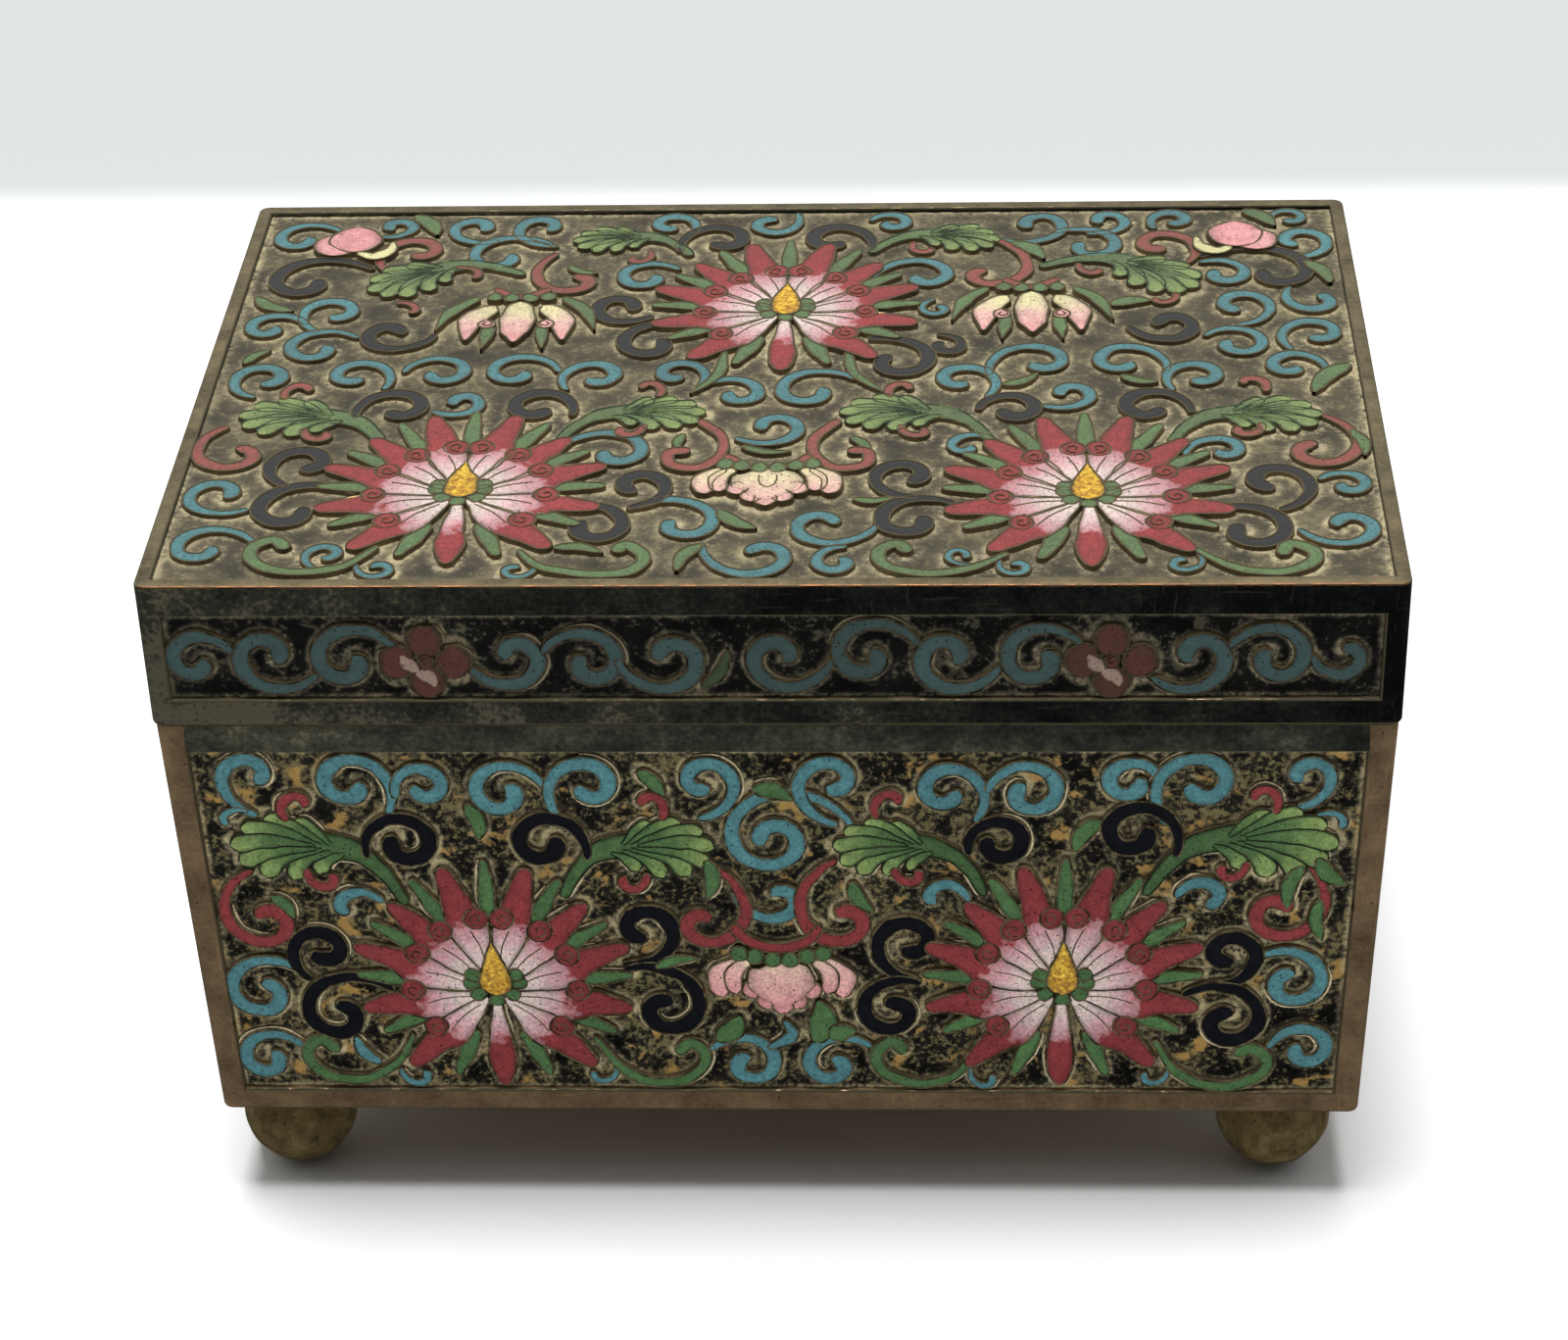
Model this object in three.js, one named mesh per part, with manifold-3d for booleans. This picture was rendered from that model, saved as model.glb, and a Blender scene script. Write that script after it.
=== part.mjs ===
// Cloisonné enamel box: a hollow copper box and its lift-off lid, with a lotus-scroll relief
// standing in sunk panels, on four brass ball feet. Millimetres, +Z up.
// Origin: on the ground below the middle of the box. The front faces -Y.
import * as THREE from 'three';
import { mergeVertices } from 'three/addons/utils/BufferGeometryUtils.js';
import Module from 'manifold-3d';

const wasm = await Module();
wasm.setup();

// Driving dimensions.
const LID_WIDTH = 152;
const LID_DEPTH = 101;
const LID_HEIGHT = 20;
const BODY_HEIGHT = 62;
const STAND_HEIGHT = 14.3; // ground to the underside of the base plate
const LID_OVERHANG = 0.3; // past the body, on every side
const BODY_TAPER = 1.5; // how far each side leans in from rim to base
const WALL = 2.2;
const BASE_PLATE = 2;
const LID_PLATE = 2.4;
const CORNER_RADIUS = 1.4;
const CORNER_STEPS = 2;
const PANEL_SINK = 0.8; // depth of the sunk panels
const RELIEF_RISE = 0.7; // height of the enamelled relief above the panel's ground
const RELIEF_ROOT = 0.3; // how far the relief is let into the ground
const TOP_FRAME = 1.9;
const FRONT_FRAME = { side: 3.6, base: 3.4, rim: 4.4 };
const SKIRT_FRAME = { side: 3, base: 3.7, rim: 4.4 };
const LIP_RISE = 3; // locating lip that keeps the lid in place
const LIP_WALL = 1.1;
const LIP_PLAY = 0.35;
const FOOT_RADIUS = 7.6;
const FOOT_SINK = 0.85; // how much of the ball's top is flattened against the base plate
const FOOT_INSET = { left: 8.4, right: 10.2, depth: 9.2 }; // ball centre from the base's edges
const FOOT_SIDES = 12;
const FOOT_RINGS = 5;

// The relief's own sizes.
const BAND = 1.9; // width of a scroll's band at its eye
const SCROLL_STEPS = 6;
const SCROLL_SWEEP = THREE.MathUtils.degToRad(330);
const LOTUS_TIPS = [
  // [degrees from the flower's right, reach] from the crown to the hanging petal, one side
  [90, 20], [73.7, 19.6], [60.8, 19.5], [45.9, 18.2], [33.2, 18.3], [19.2, 18.8],
  [4.8, 18.1], [-12.7, 18.2], [-27.3, 17.4], [-47.9, 18.3], [-67.8, 16.4], [-90, 17],
];
const LOTUS_NOTCH = 12.2;
const SEED = { width: 4, height: 8.3, rise: 0.1 };

const bodyWidth = LID_WIDTH - 2 * LID_OVERHANG;
const bodyDepth = LID_DEPTH - 2 * LID_OVERHANG;
const rimHeight = STAND_HEIGHT + BODY_HEIGHT;

// ---- solids ---------------------------------------------------------------------------------

/** A closed three.js geometry as a manifold solid. */
function solid(geometry) {
  const bare = geometry.index ? geometry.toNonIndexed() : geometry;
  bare.deleteAttribute('normal');
  bare.deleteAttribute('uv');
  const merged = mergeVertices(bare, 1e-4);
  const mesh = new wasm.Mesh({
    numProp: 3,
    vertProperties: new Float32Array(merged.attributes.position.array),
    triVerts: new Uint32Array(merged.index.array),
  });
  return new wasm.Manifold(mesh);
}

/** A manifold solid as a three.js geometry, each point moved by bend if one is given. */
function geometryOf(manifold, bend = (point) => point) {
  const { vertProperties, triVerts, numProp } = manifold.getMesh();
  const points = [];
  for (let i = 0; i < vertProperties.length; i += numProp) {
    const point = new THREE.Vector3(...vertProperties.slice(i, i + 3));
    points.push(...bend(point).toArray());
  }
  const geometry = new THREE.BufferGeometry();
  geometry.setAttribute('position', new THREE.Float32BufferAttribute(points, 3));
  geometry.setIndex([...triVerts]);
  return geometry;
}

/** A flat outline, an array of [u, v], pushed up from low to high in its own frame. */
function raise(outline, low, high) {
  const shape = new THREE.Shape(outline.map(([u, v]) => new THREE.Vector2(u, v)));
  const geometry = new THREE.ExtrudeGeometry(shape, { depth: high - low, bevelEnabled: false });
  return geometry.translate(0, 0, low);
}

function rectangle(left, bottom, right, top) {
  return [[left, bottom], [right, bottom], [right, top], [left, top]];
}

/** A rectangle about the middle with rounded corners. */
function roundedRectangle(width, depth, radius) {
  const outline = [];
  const corners = [[1, 1], [-1, 1], [-1, -1], [1, -1]];
  corners.forEach(([sx, sy], quarter) => {
    for (let step = 0; step <= CORNER_STEPS; step += 1) {
      const angle = (quarter + step / CORNER_STEPS) * Math.PI / 2;
      const x = sx * (width / 2 - radius) + radius * Math.cos(angle);
      const y = sy * (depth / 2 - radius) + radius * Math.sin(angle);
      outline.push([x, y]);
    }
  });
  return outline;
}

function block(width, depth, radius, low, high) {
  return solid(raise(roundedRectangle(width, depth, radius), low, high));
}

// ---- the relief's motifs: each gives one outline in a panel's own (u, v) --------------------

/** The outline of a band that follows path, a list of {u, v, half}, pointed at its start. */
function bandOutline(path) {
  const left = [];
  const right = [];
  for (let i = 1; i < path.length; i += 1) {
    const before = path[i - 1];
    const after = path[Math.min(i + 1, path.length - 1)];
    const along = new THREE.Vector2(after.u - before.u, after.v - before.v).normalize();
    const { u, v, half } = path[i];
    left.push([u - along.y * half, v + along.x * half]);
    right.push([u + along.y * half, v - along.x * half]);
  }
  const last = path[path.length - 1];
  const previous = path[path.length - 2];
  const end = new THREE.Vector2(last.u - previous.u, last.v - previous.v).normalize();
  const cap = [last.u + end.x * last.half, last.v + end.y * last.half];
  const outline = [[path[0].u, path[0].v], ...right, cap, ...left.reverse()];
  const turnsLeft = THREE.ShapeUtils.area(outline.map(([x, y]) => ({ x, y }))) > 0;
  return turnsLeft ? outline : outline.reverse();
}

/** A scroll: from its tail it rounds its middle once and curls in to a blunt eye. */
function scroll({ u, v, radius, tail, hand }) {
  const start = Math.atan2(tail[1] - v, tail[0] - u);
  const reach = Math.hypot(tail[0] - u, tail[1] - v);
  const ring = radius - BAND / 2;
  const path = [];
  for (let i = 0; i <= SCROLL_STEPS; i += 1) {
    const t = i / SCROLL_STEPS;
    const angle = start + hand * SCROLL_SWEEP * t;
    const r = ring * (1 - 0.58 * t ** 2.4) + (reach - ring) * (1 - t) ** 4;
    path.push({ u: u + r * Math.cos(angle), v: v + r * Math.sin(angle), half: BAND * (0.3 + 0.2 * t) });
  }
  return bandOutline(path);
}

/** An open lotus: sepals and petals take turns round a ring of notches. */
function lotus(u, v, size = 1) {
  const leftSide = LOTUS_TIPS.slice(1, -1).map(([angle, reach]) => [180 - angle, reach]);
  const tips = [...LOTUS_TIPS].reverse().concat(leftSide);
  const outline = [];
  tips.forEach(([angle, reach], i) => {
    const next = tips[(i + 1) % tips.length][0];
    const turn = i === tips.length - 1 ? 360 : 0;
    const between = (angle + next + turn) / 2;
    const at = (degrees, r) => [
      u + size * r * Math.cos(THREE.MathUtils.degToRad(degrees)),
      v + size * r * Math.sin(THREE.MathUtils.degToRad(degrees)),
    ];
    outline.push(at(angle, reach), at(between, LOTUS_NOTCH));
  });
  return outline;
}

/** The drop-shaped seed pod at a lotus's heart. */
function seed(u, v, size = 1) {
  const radius = size * SEED.width / 2;
  const outline = [[u, v + size * SEED.height - radius]];
  for (let degrees = 160; degrees <= 380; degrees += 44) {
    const angle = THREE.MathUtils.degToRad(degrees);
    outline.push([u + radius * Math.cos(angle), v + radius * Math.sin(angle)]);
  }
  return outline;
}

/** An acanthus leaf: a bowed stem that opens into a lobed head at its tip. */
function acanthus({ root, bow, tip, spread }) {
  const curve = new THREE.QuadraticBezierCurve(
    new THREE.Vector2(...root),
    new THREE.Vector2(...bow),
    new THREE.Vector2(...tip),
  );
  const stem = 0.35;
  const steps = 9;
  const path = [];
  for (let i = 0; i <= steps; i += 1) {
    const t = i / steps;
    const point = curve.getPoint(t);
    const open = Math.max(0, (t - stem) / (1 - stem));
    const lobe = i % 2 ? 0.72 : 1;
    const half = 0.8 + (spread - 0.8) * lobe * Math.sin(Math.PI * Math.min(1, open * 1.25) * 0.62);
    path.push({ u: point.x, v: point.y, half });
  }
  return bandOutline(path);
}

/** A closed lotus seen from the side, its petals fanned out below a cup. */
function bud({ u, v, width, height, petals }) {
  const outline = [];
  const steps = petals * 2;
  for (let i = 0; i <= steps; i += 1) {
    const t = i / steps - 0.5;
    const reach = i % 2 ? height : height * 0.62;
    outline.push([u + width * t, v - reach * (1 - 0.5 * Math.abs(t))]);
  }
  outline.push([u + width * 0.28, v], [u - width * 0.28, v]);
  return THREE.ShapeUtils.area(outline.map(([x, y]) => ({ x, y }))) > 0 ? outline : outline.reverse();
}

/** A flower of round petals, as one lobed outline. */
function rosette(u, v, radius, petals) {
  const outline = [];
  const steps = petals * 4;
  for (let i = 0; i < steps; i += 1) {
    const angle = (i / steps) * 2 * Math.PI;
    const r = radius * (i % 4 === 2 ? 0.55 : 1);
    outline.push([u + r * Math.cos(angle), v + r * Math.sin(angle)]);
  }
  return outline;
}

// ---- layouts: half of each panel is stated, and its other half mirrors it --------------------

const mirrorScroll = (s) => ({ ...s, u: -s.u, tail: [-s.tail[0], s.tail[1]], hand: -s.hand });
const mirrorPoint = ([u, v]) => [-u, v];
const mirrorLeaf = (leaf) => ({
  root: mirrorPoint(leaf.root),
  bow: mirrorPoint(leaf.bow),
  tip: mirrorPoint(leaf.tip),
  spread: leaf.spread,
});
const bothSides = (items, mirror) => items.flatMap((item) => [item, mirror(item)]);
const asScroll = ([u, v, radius, tailU, tailV, hand]) => ({ u, v, radius, tail: [tailU, tailV], hand });
const asLeaf = ([rootU, rootV, bowU, bowV, tipU, tipV, spread]) => ({
  root: [rootU, rootV],
  bow: [bowU, bowV],
  tip: [tipU, tipV],
  spread,
});

// Scrolls: [u, v, radius, tail u, tail v, hand], hand 1 where it winds anticlockwise to its eye.
const TOP_SCROLLS = [
  [46.8, 43, 4.4, 52.2, 41.3, 1], [30.3, 43, 4.2, 25.8, 42, -1], [60.5, 25.5, 4.2, 61.5, 18.6, 1],
  [59, 14, 4.6, 53, 17.4, -1], [16.2, 25.4, 4.2, 17.6, 20.4, -1], [5.3, 90.1, 4.3, 10.5, 86.6, 1],
  [65.4, 79.3, 4.5, 57, 84.2, -1], [50.4, 64.8, 4.3, 45, 64.6, 1], [15.4, 56, 4.4, 10.8, 61, -1],
  [69.6, 13.7, 4, 64.2, 10, 1], [43.9, 54.6, 4.2, 49.2, 52.2, 1], [34, 54.6, 4.1, 27.6, 51.2, -1],
  [54.2, 51.4, 3.9, 50.4, 47.4, -1], [22.9, 51.2, 4, 26, 46.4, 1], [59.6, 60.2, 4.2, 55, 61.8, -1],
  [69.2, 62.6, 3.9, 66.1, 57.8, -1], [60, 70.2, 4.2, 59.4, 64.9, 1], [70, 71.7, 3.8, 66.2, 74.6, 1],
  [69.1, 90, 3.9, 65, 86, 1], [40.6, 86.7, 4.2, 35.6, 90.4, -1],
  [17.6, 79.3, 4, 11.6, 78.4, -1], [50.6, 87.8, 3.7, 54, 82.2, 1], [66.9, 33, 4, 68.9, 40.2, -1],
].map(asScroll);
const TOP_LEAVES = [
  [49.5, 34, 52, 41, 68, 43.4, 3.6], [27.6, 34, 22, 41.4, 8.6, 42.6, 3.4],
  [9, 82, 12.5, 90, 28.6, 91.6, 3.2], [36, 78.6, 42, 75.4, 56.6, 78.2, 3.4],
].map(asLeaf);
const TOP_LOTUSES = [[-38.8, 21.8], [38.8, 21.8], [0, 69.5]];
const TOP_BUDS = [-34, 34].map((u) => ({ u, v: 74.6, width: 19, height: 13, petals: 5 }));
const TOP_CORNER_BUDS = [[-60.8, 90], [60.8, 90]];
const TOP_HANGING_FLOWER = { u: -0.8, v: 28, width: 19, height: 8.4, petals: 5 };
const TOP_CENTRE_SCROLLS = [[-0.8, 38.3, 4, -5.6, 35.6, 1], [3.7, 48, 4.4, 9.4, 50.3, 1]].map(asScroll);

const FRONT_SCROLLS = [
  [7.8, 52.6, 3.8, 7.8, 46.8, -1], [22, 52, 4, 25.5, 47, 1], [32.9, 51.5, 4.2, 27.4, 51.5, -1],
  [43.4, 52.4, 3.8, 47.4, 51.8, 1], [52.8, 52, 4.2, 48.5, 47, -1], [65, 53.3, 3.3, 64.6, 48.9, 1],
  [66.4, 20.5, 4.4, 61.2, 24, -1], [68, 9.5, 3.8, 63.4, 10.5, -1],
  [28.4, 43.4, 4.6, 23.2, 41.6, -1], [45.6, 44.4, 4.6, 50.4, 40.6, 1], [17, 29, 4.1, 18.8, 23.2, -1],
  [14.7, 16.5, 4.2, 19, 21.6, 1], [58.2, 26.4, 4, 53.2, 21.4, 1], [57.8, 15, 4.2, 51.4, 18.8, -1],
  [64, 32.5, 3.6, 66.6, 39.6, -1], [9.5, 32, 2.9, 8.1, 40.2, 1],
].map(asScroll);
const FRONT_CENTRE_SCROLL = [[-0.5, 42.6, 4.6, 7, 45.2, 1]].map(asScroll);
const FRONT_LEAVES = [
  [45.5, 32.5, 50.4, 42, 68.4, 45, 3.3], [27.5, 33, 22.4, 42, 9, 44.4, 3.3],
].map(asLeaf);
const FRONT_LOTUSES = [[-36.6, 21.3], [36.6, 21.3]];
const FRONT_HANGING_FLOWER = { u: 0, v: 26.4, width: 18, height: 9, petals: 5 };

const PLAIN_SCROLLS = [[24.5, 20, 4.6, 18.6, 25.4, -1], [24.5, 40, 4.6, 17.6, 35.4, 1]].map(asScroll);
const SKIRT_PITCH = 9.8;
const SKIRT_ROSETTES = [-41.5, 41.5];

/** The band's running scrolls, winding up and down in turn, clear of its rosettes. */
function skirtScrolls(width, middle, rosettes) {
  const count = Math.floor(width / SKIRT_PITCH / 2) * 2;
  const scrolls = [];
  for (let i = 0; i < count; i += 1) {
    const u = (i - (count - 1) / 2) * SKIRT_PITCH;
    const hand = i % 2 ? 1 : -1;
    const crowded = rosettes.some((at) => Math.abs(at - u) < SKIRT_PITCH * 0.7);
    const tail = [u - 0.62 * SKIRT_PITCH, middle - hand * 2.4];
    if (!crowded) scrolls.push({ u, v: middle, radius: 4.1, tail, hand });
  }
  return scrolls;
}

// ---- panels: a place on a face, and what stands in it --------------------------------------

const { Vector3, Matrix4 } = THREE;
const UP = new Vector3(0, 0, 1);

/** The frame of a wall's face: u along the wall, v up, w outwards, v = 0 at height. */
function wallFrame(outwards, distance, height) {
  const along = new Vector3().crossVectors(UP, outwards);
  const origin = outwards.clone().multiplyScalar(distance).setZ(height);
  return new Matrix4().makeBasis(along, UP, outwards).setPosition(origin);
}

const TO_FRONT = new Vector3(0, -1, 0);
const TO_BACK = new Vector3(0, 1, 0);
const TO_LEFT = new Vector3(-1, 0, 0);
const TO_RIGHT = new Vector3(1, 0, 0);

/** Cuts a panel's pocket out of a shell and returns the solids that stand in it. */
function sinkPanel(shell, panel) {
  const { frame, left, bottom, right, top, outlines } = panel;
  const pocket = raise(rectangle(left, bottom, right, top), -PANEL_SINK, PANEL_SINK);
  const placed = outlines.map(({ outline, rise }) => {
    const low = -PANEL_SINK - RELIEF_ROOT;
    return solid(raise(outline, low, -PANEL_SINK + rise).applyMatrix4(frame));
  });
  return { shell: shell.subtract(solid(pocket.applyMatrix4(frame))), placed };
}

function withPanels(shell, panels) {
  let sunk = shell;
  const relief = [];
  for (const panel of panels) {
    const result = sinkPanel(sunk, panel);
    sunk = result.shell;
    relief.push(...result.placed);
  }
  return wasm.Manifold.union([sunk, ...relief]);
}

const flat = (outline) => ({ outline, rise: RELIEF_RISE });
const lotusWithSeed = ([u, v]) => [
  flat(lotus(u, v)),
  { outline: seed(u, v + 1), rise: RELIEF_RISE + SEED.rise },
];

function topPanel() {
  const reachU = LID_WIDTH / 2 - TOP_FRAME;
  const origin = new Vector3(0, -LID_DEPTH / 2, LID_HEIGHT);
  const outlines = [
    ...bothSides(TOP_SCROLLS, mirrorScroll).map((s) => flat(scroll(s))),
    ...TOP_CENTRE_SCROLLS.map((s) => flat(scroll(s))),
    ...bothSides(TOP_LEAVES, mirrorLeaf).map((l) => flat(acanthus(l))),
    ...TOP_LOTUSES.flatMap(lotusWithSeed),
    ...TOP_BUDS.map((b) => flat(bud(b))),
    ...TOP_CORNER_BUDS.map(([u, v]) => flat(rosette(u, v, 4.6, 3))),
    flat(bud(TOP_HANGING_FLOWER)),
  ];
  return {
    frame: new Matrix4().setPosition(origin),
    left: -reachU,
    bottom: TOP_FRAME,
    right: reachU,
    top: LID_DEPTH - TOP_FRAME,
    outlines,
  };
}

/** The relief of the lid's front band. The other sides' bands have bare grounds. */
function skirtRelief() {
  const middle = (SKIRT_FRAME.base + LID_HEIGHT - SKIRT_FRAME.rim) / 2;
  const width = LID_WIDTH - 2 * SKIRT_FRAME.side;
  return [
    ...skirtScrolls(width, middle, SKIRT_ROSETTES).map((s) => flat(scroll(s))),
    ...SKIRT_ROSETTES.map((u) => flat(rosette(u, middle, 5.2, 4))),
  ];
}

function skirtPanel(outwards, distance, width, outlines = []) {
  return {
    frame: wallFrame(outwards, distance, 0),
    left: -width / 2 + SKIRT_FRAME.side,
    bottom: SKIRT_FRAME.base,
    right: width / 2 - SKIRT_FRAME.side,
    top: LID_HEIGHT - SKIRT_FRAME.rim,
    outlines,
  };
}

function bodyPanel(outwards, distance, width, outlines) {
  return {
    frame: wallFrame(outwards, distance, 0),
    left: -width / 2 + FRONT_FRAME.side,
    bottom: FRONT_FRAME.base,
    right: width / 2 - FRONT_FRAME.side,
    top: BODY_HEIGHT - FRONT_FRAME.rim,
    outlines,
  };
}

function frontRelief() {
  return [
    ...bothSides(FRONT_SCROLLS, mirrorScroll).map((s) => flat(scroll(s))),
    ...FRONT_CENTRE_SCROLL.map((s) => flat(scroll(s))),
    ...bothSides(FRONT_LEAVES, mirrorLeaf).map((l) => flat(acanthus(l))),
    ...FRONT_LOTUSES.flatMap(lotusWithSeed),
    flat(bud(FRONT_HANGING_FLOWER)),
  ];
}

function plainRelief() {
  return [
    ...bothSides(PLAIN_SCROLLS, mirrorScroll).map((s) => flat(scroll(s))),
    ...lotusWithSeed([0, BODY_HEIGHT / 2 - 1]),
  ];
}

// ---- the pieces -----------------------------------------------------------------------------

/** The lid, its own z = 0 at its open rim. */
function lidGeometry() {
  const shell = block(LID_WIDTH, LID_DEPTH, CORNER_RADIUS, 0, LID_HEIGHT);
  const inside = block(
    LID_WIDTH - 2 * WALL,
    LID_DEPTH - 2 * WALL,
    CORNER_RADIUS / 2,
    -1,
    LID_HEIGHT - LID_PLATE,
  );
  const panels = [
    topPanel(),
    skirtPanel(TO_FRONT, LID_DEPTH / 2, LID_WIDTH, skirtRelief()),
    skirtPanel(TO_BACK, LID_DEPTH / 2, LID_WIDTH),
    skirtPanel(TO_LEFT, LID_WIDTH / 2, LID_DEPTH),
    skirtPanel(TO_RIGHT, LID_WIDTH / 2, LID_DEPTH),
  ];
  return geometryOf(withPanels(shell.subtract(inside), panels));
}

/** The box's body, its own z = 0 under its base plate. */
function bodyGeometry() {
  const shell = block(bodyWidth, bodyDepth, CORNER_RADIUS, 0, BODY_HEIGHT);
  const lidInsideWidth = LID_WIDTH - 2 * WALL;
  const lidInsideDepth = LID_DEPTH - 2 * WALL;
  const lipWidth = lidInsideWidth - 2 * LIP_PLAY;
  const lipDepth = lidInsideDepth - 2 * LIP_PLAY;
  const lip = block(lipWidth, lipDepth, CORNER_RADIUS / 2, BASE_PLATE, BODY_HEIGHT + LIP_RISE);
  const insideWidth = lipWidth - 2 * LIP_WALL;
  const insideDepth = lipDepth - 2 * LIP_WALL;
  const inside = block(
    insideWidth,
    insideDepth,
    CORNER_RADIUS / 2,
    BASE_PLATE,
    BODY_HEIGHT + LIP_RISE + 1,
  );
  const panels = [
    bodyPanel(TO_FRONT, bodyDepth / 2, bodyWidth, frontRelief()),
    bodyPanel(TO_BACK, bodyDepth / 2, bodyWidth, plainRelief()),
    bodyPanel(TO_LEFT, bodyWidth / 2, bodyDepth, plainRelief()),
    bodyPanel(TO_RIGHT, bodyWidth / 2, bodyDepth, plainRelief()),
  ];
  const leanU = BODY_TAPER / (bodyWidth / 2);
  const leanV = BODY_TAPER / (bodyDepth / 2);
  const lean = (point) => {
    const drop = 1 - Math.min(1, point.z / BODY_HEIGHT);
    point.x *= 1 - leanU * drop;
    point.y *= 1 - leanV * drop;
    return point;
  };
  return geometryOf(withPanels(shell.add(lip).subtract(inside), panels), lean);
}

/** One ball foot, its own z = 0 where it meets the base plate. */
function footGeometry() {
  const centre = FOOT_SINK - FOOT_RADIUS;
  const bottom = -STAND_HEIGHT;
  const topAngle = Math.acos(-centre / FOOT_RADIUS);
  const bottomAngle = Math.acos((bottom - centre) / FOOT_RADIUS);
  const profile = [new THREE.Vector2(0, bottom)];
  for (let i = 0; i <= FOOT_RINGS; i += 1) {
    const angle = bottomAngle + (topAngle - bottomAngle) * (i / FOOT_RINGS);
    const radius = FOOT_RADIUS * Math.sin(angle);
    profile.push(new THREE.Vector2(radius, centre + FOOT_RADIUS * Math.cos(angle)));
  }
  profile.push(new THREE.Vector2(0, 0));
  return geometryOf(solid(new THREE.LatheGeometry(profile, FOOT_SIDES).rotateX(Math.PI / 2)));
}

function finish(colour, roughness, metalness) {
  return new THREE.MeshStandardMaterial({ color: colour, roughness, metalness });
}

const tarnishedCopper = finish(0x5d6156, 0.55, 0.5);
const brownCopper = finish(0x6e5a48, 0.55, 0.5);
const agedBrass = finish(0x6f5f38, 0.45, 0.9);

const box = new THREE.Group();

function addPiece(name, geometry, material, x, y, z) {
  const mesh = new THREE.Mesh(geometry, material);
  mesh.name = name;
  mesh.position.set(x, y, z);
  box.add(mesh);
}

addPiece('lid', lidGeometry(), tarnishedCopper, 0, 0, rimHeight);
addPiece('box_body', bodyGeometry(), brownCopper, 0, 0, STAND_HEIGHT);

const baseReachX = bodyWidth / 2 - BODY_TAPER;
const baseReachY = bodyDepth / 2 - BODY_TAPER;
for (const [row, sy] of [['front', -1], ['back', 1]]) {
  for (const [side, sx] of [['left', -1], ['right', 1]]) {
    const x = sx * (baseReachX - FOOT_INSET[side]);
    const y = sy * (baseReachY - FOOT_INSET.depth);
    addPiece(`foot_${row}_${side}`, footGeometry(), agedBrass, x, y, STAND_HEIGHT);
  }
}

export default box;
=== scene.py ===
"""Cloisonne enamel box: a hinge-less copper box with a lift-off lid on four brass ball feet.

Raised cells of enamel stand in the sunk panels: scrolls, lotus flowers, curling leaves and
buds, each in its own brass wire. Lengths inside this script are millimetres in the drawings
of the panels and metres on every mesh.
"""
from __future__ import annotations

import logging
import math
from dataclasses import dataclass, field, replace
from enum import Enum, IntEnum
from functools import partial
from typing import Callable, Iterable, Sequence

import bmesh
import bpy
import numpy as np
from bpy.types import Material, Node, NodeSocket, NodeTree, Object
from mathutils import Matrix, Vector

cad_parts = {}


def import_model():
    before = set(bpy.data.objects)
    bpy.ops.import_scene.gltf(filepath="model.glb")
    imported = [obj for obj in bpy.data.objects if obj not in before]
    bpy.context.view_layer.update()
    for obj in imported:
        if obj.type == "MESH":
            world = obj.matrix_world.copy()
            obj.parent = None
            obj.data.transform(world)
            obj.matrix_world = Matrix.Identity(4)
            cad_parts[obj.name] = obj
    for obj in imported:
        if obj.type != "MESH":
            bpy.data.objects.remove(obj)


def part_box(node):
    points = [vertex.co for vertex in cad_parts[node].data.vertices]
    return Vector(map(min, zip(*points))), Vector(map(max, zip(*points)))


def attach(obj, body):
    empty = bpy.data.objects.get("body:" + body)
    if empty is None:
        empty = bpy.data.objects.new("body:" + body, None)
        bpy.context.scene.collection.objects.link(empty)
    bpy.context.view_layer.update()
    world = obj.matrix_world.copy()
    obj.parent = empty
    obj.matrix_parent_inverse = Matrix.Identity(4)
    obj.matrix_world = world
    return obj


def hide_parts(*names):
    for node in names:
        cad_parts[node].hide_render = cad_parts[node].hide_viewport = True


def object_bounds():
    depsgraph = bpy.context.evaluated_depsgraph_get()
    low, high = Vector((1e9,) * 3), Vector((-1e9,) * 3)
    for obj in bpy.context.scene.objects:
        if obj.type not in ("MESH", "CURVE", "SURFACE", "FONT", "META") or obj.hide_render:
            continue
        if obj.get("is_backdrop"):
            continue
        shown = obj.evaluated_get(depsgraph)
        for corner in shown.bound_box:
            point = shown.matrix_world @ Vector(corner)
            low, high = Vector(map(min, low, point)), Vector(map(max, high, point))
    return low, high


LOG = logging.getLogger("cloisonne_box")
MM = 0.001
SEED = 7
BODY = "root"

SMOOTH = {"interpolation_type": "SMOOTHSTEP"}
MULTIPLY = {"operation": "MULTIPLY"}
MULTIPLY_ADD = {"operation": "MULTIPLY_ADD"}
BLEND = {"data_type": "RGBA"}

Point = tuple[float, float]
Triple = tuple[float, float, float]


class Enamel(Enum):
    """What a cell is filled with: the colours of glass, and old polish caught beside them."""

    SKY = "sky"
    NAVY = "navy"
    RED = "red"
    GREEN = "green"
    LEAF = "leaf"
    LOTUS = "lotus"
    SEED = "seed"
    BLUSH = "blush"
    POLISH = "polish"


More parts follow.
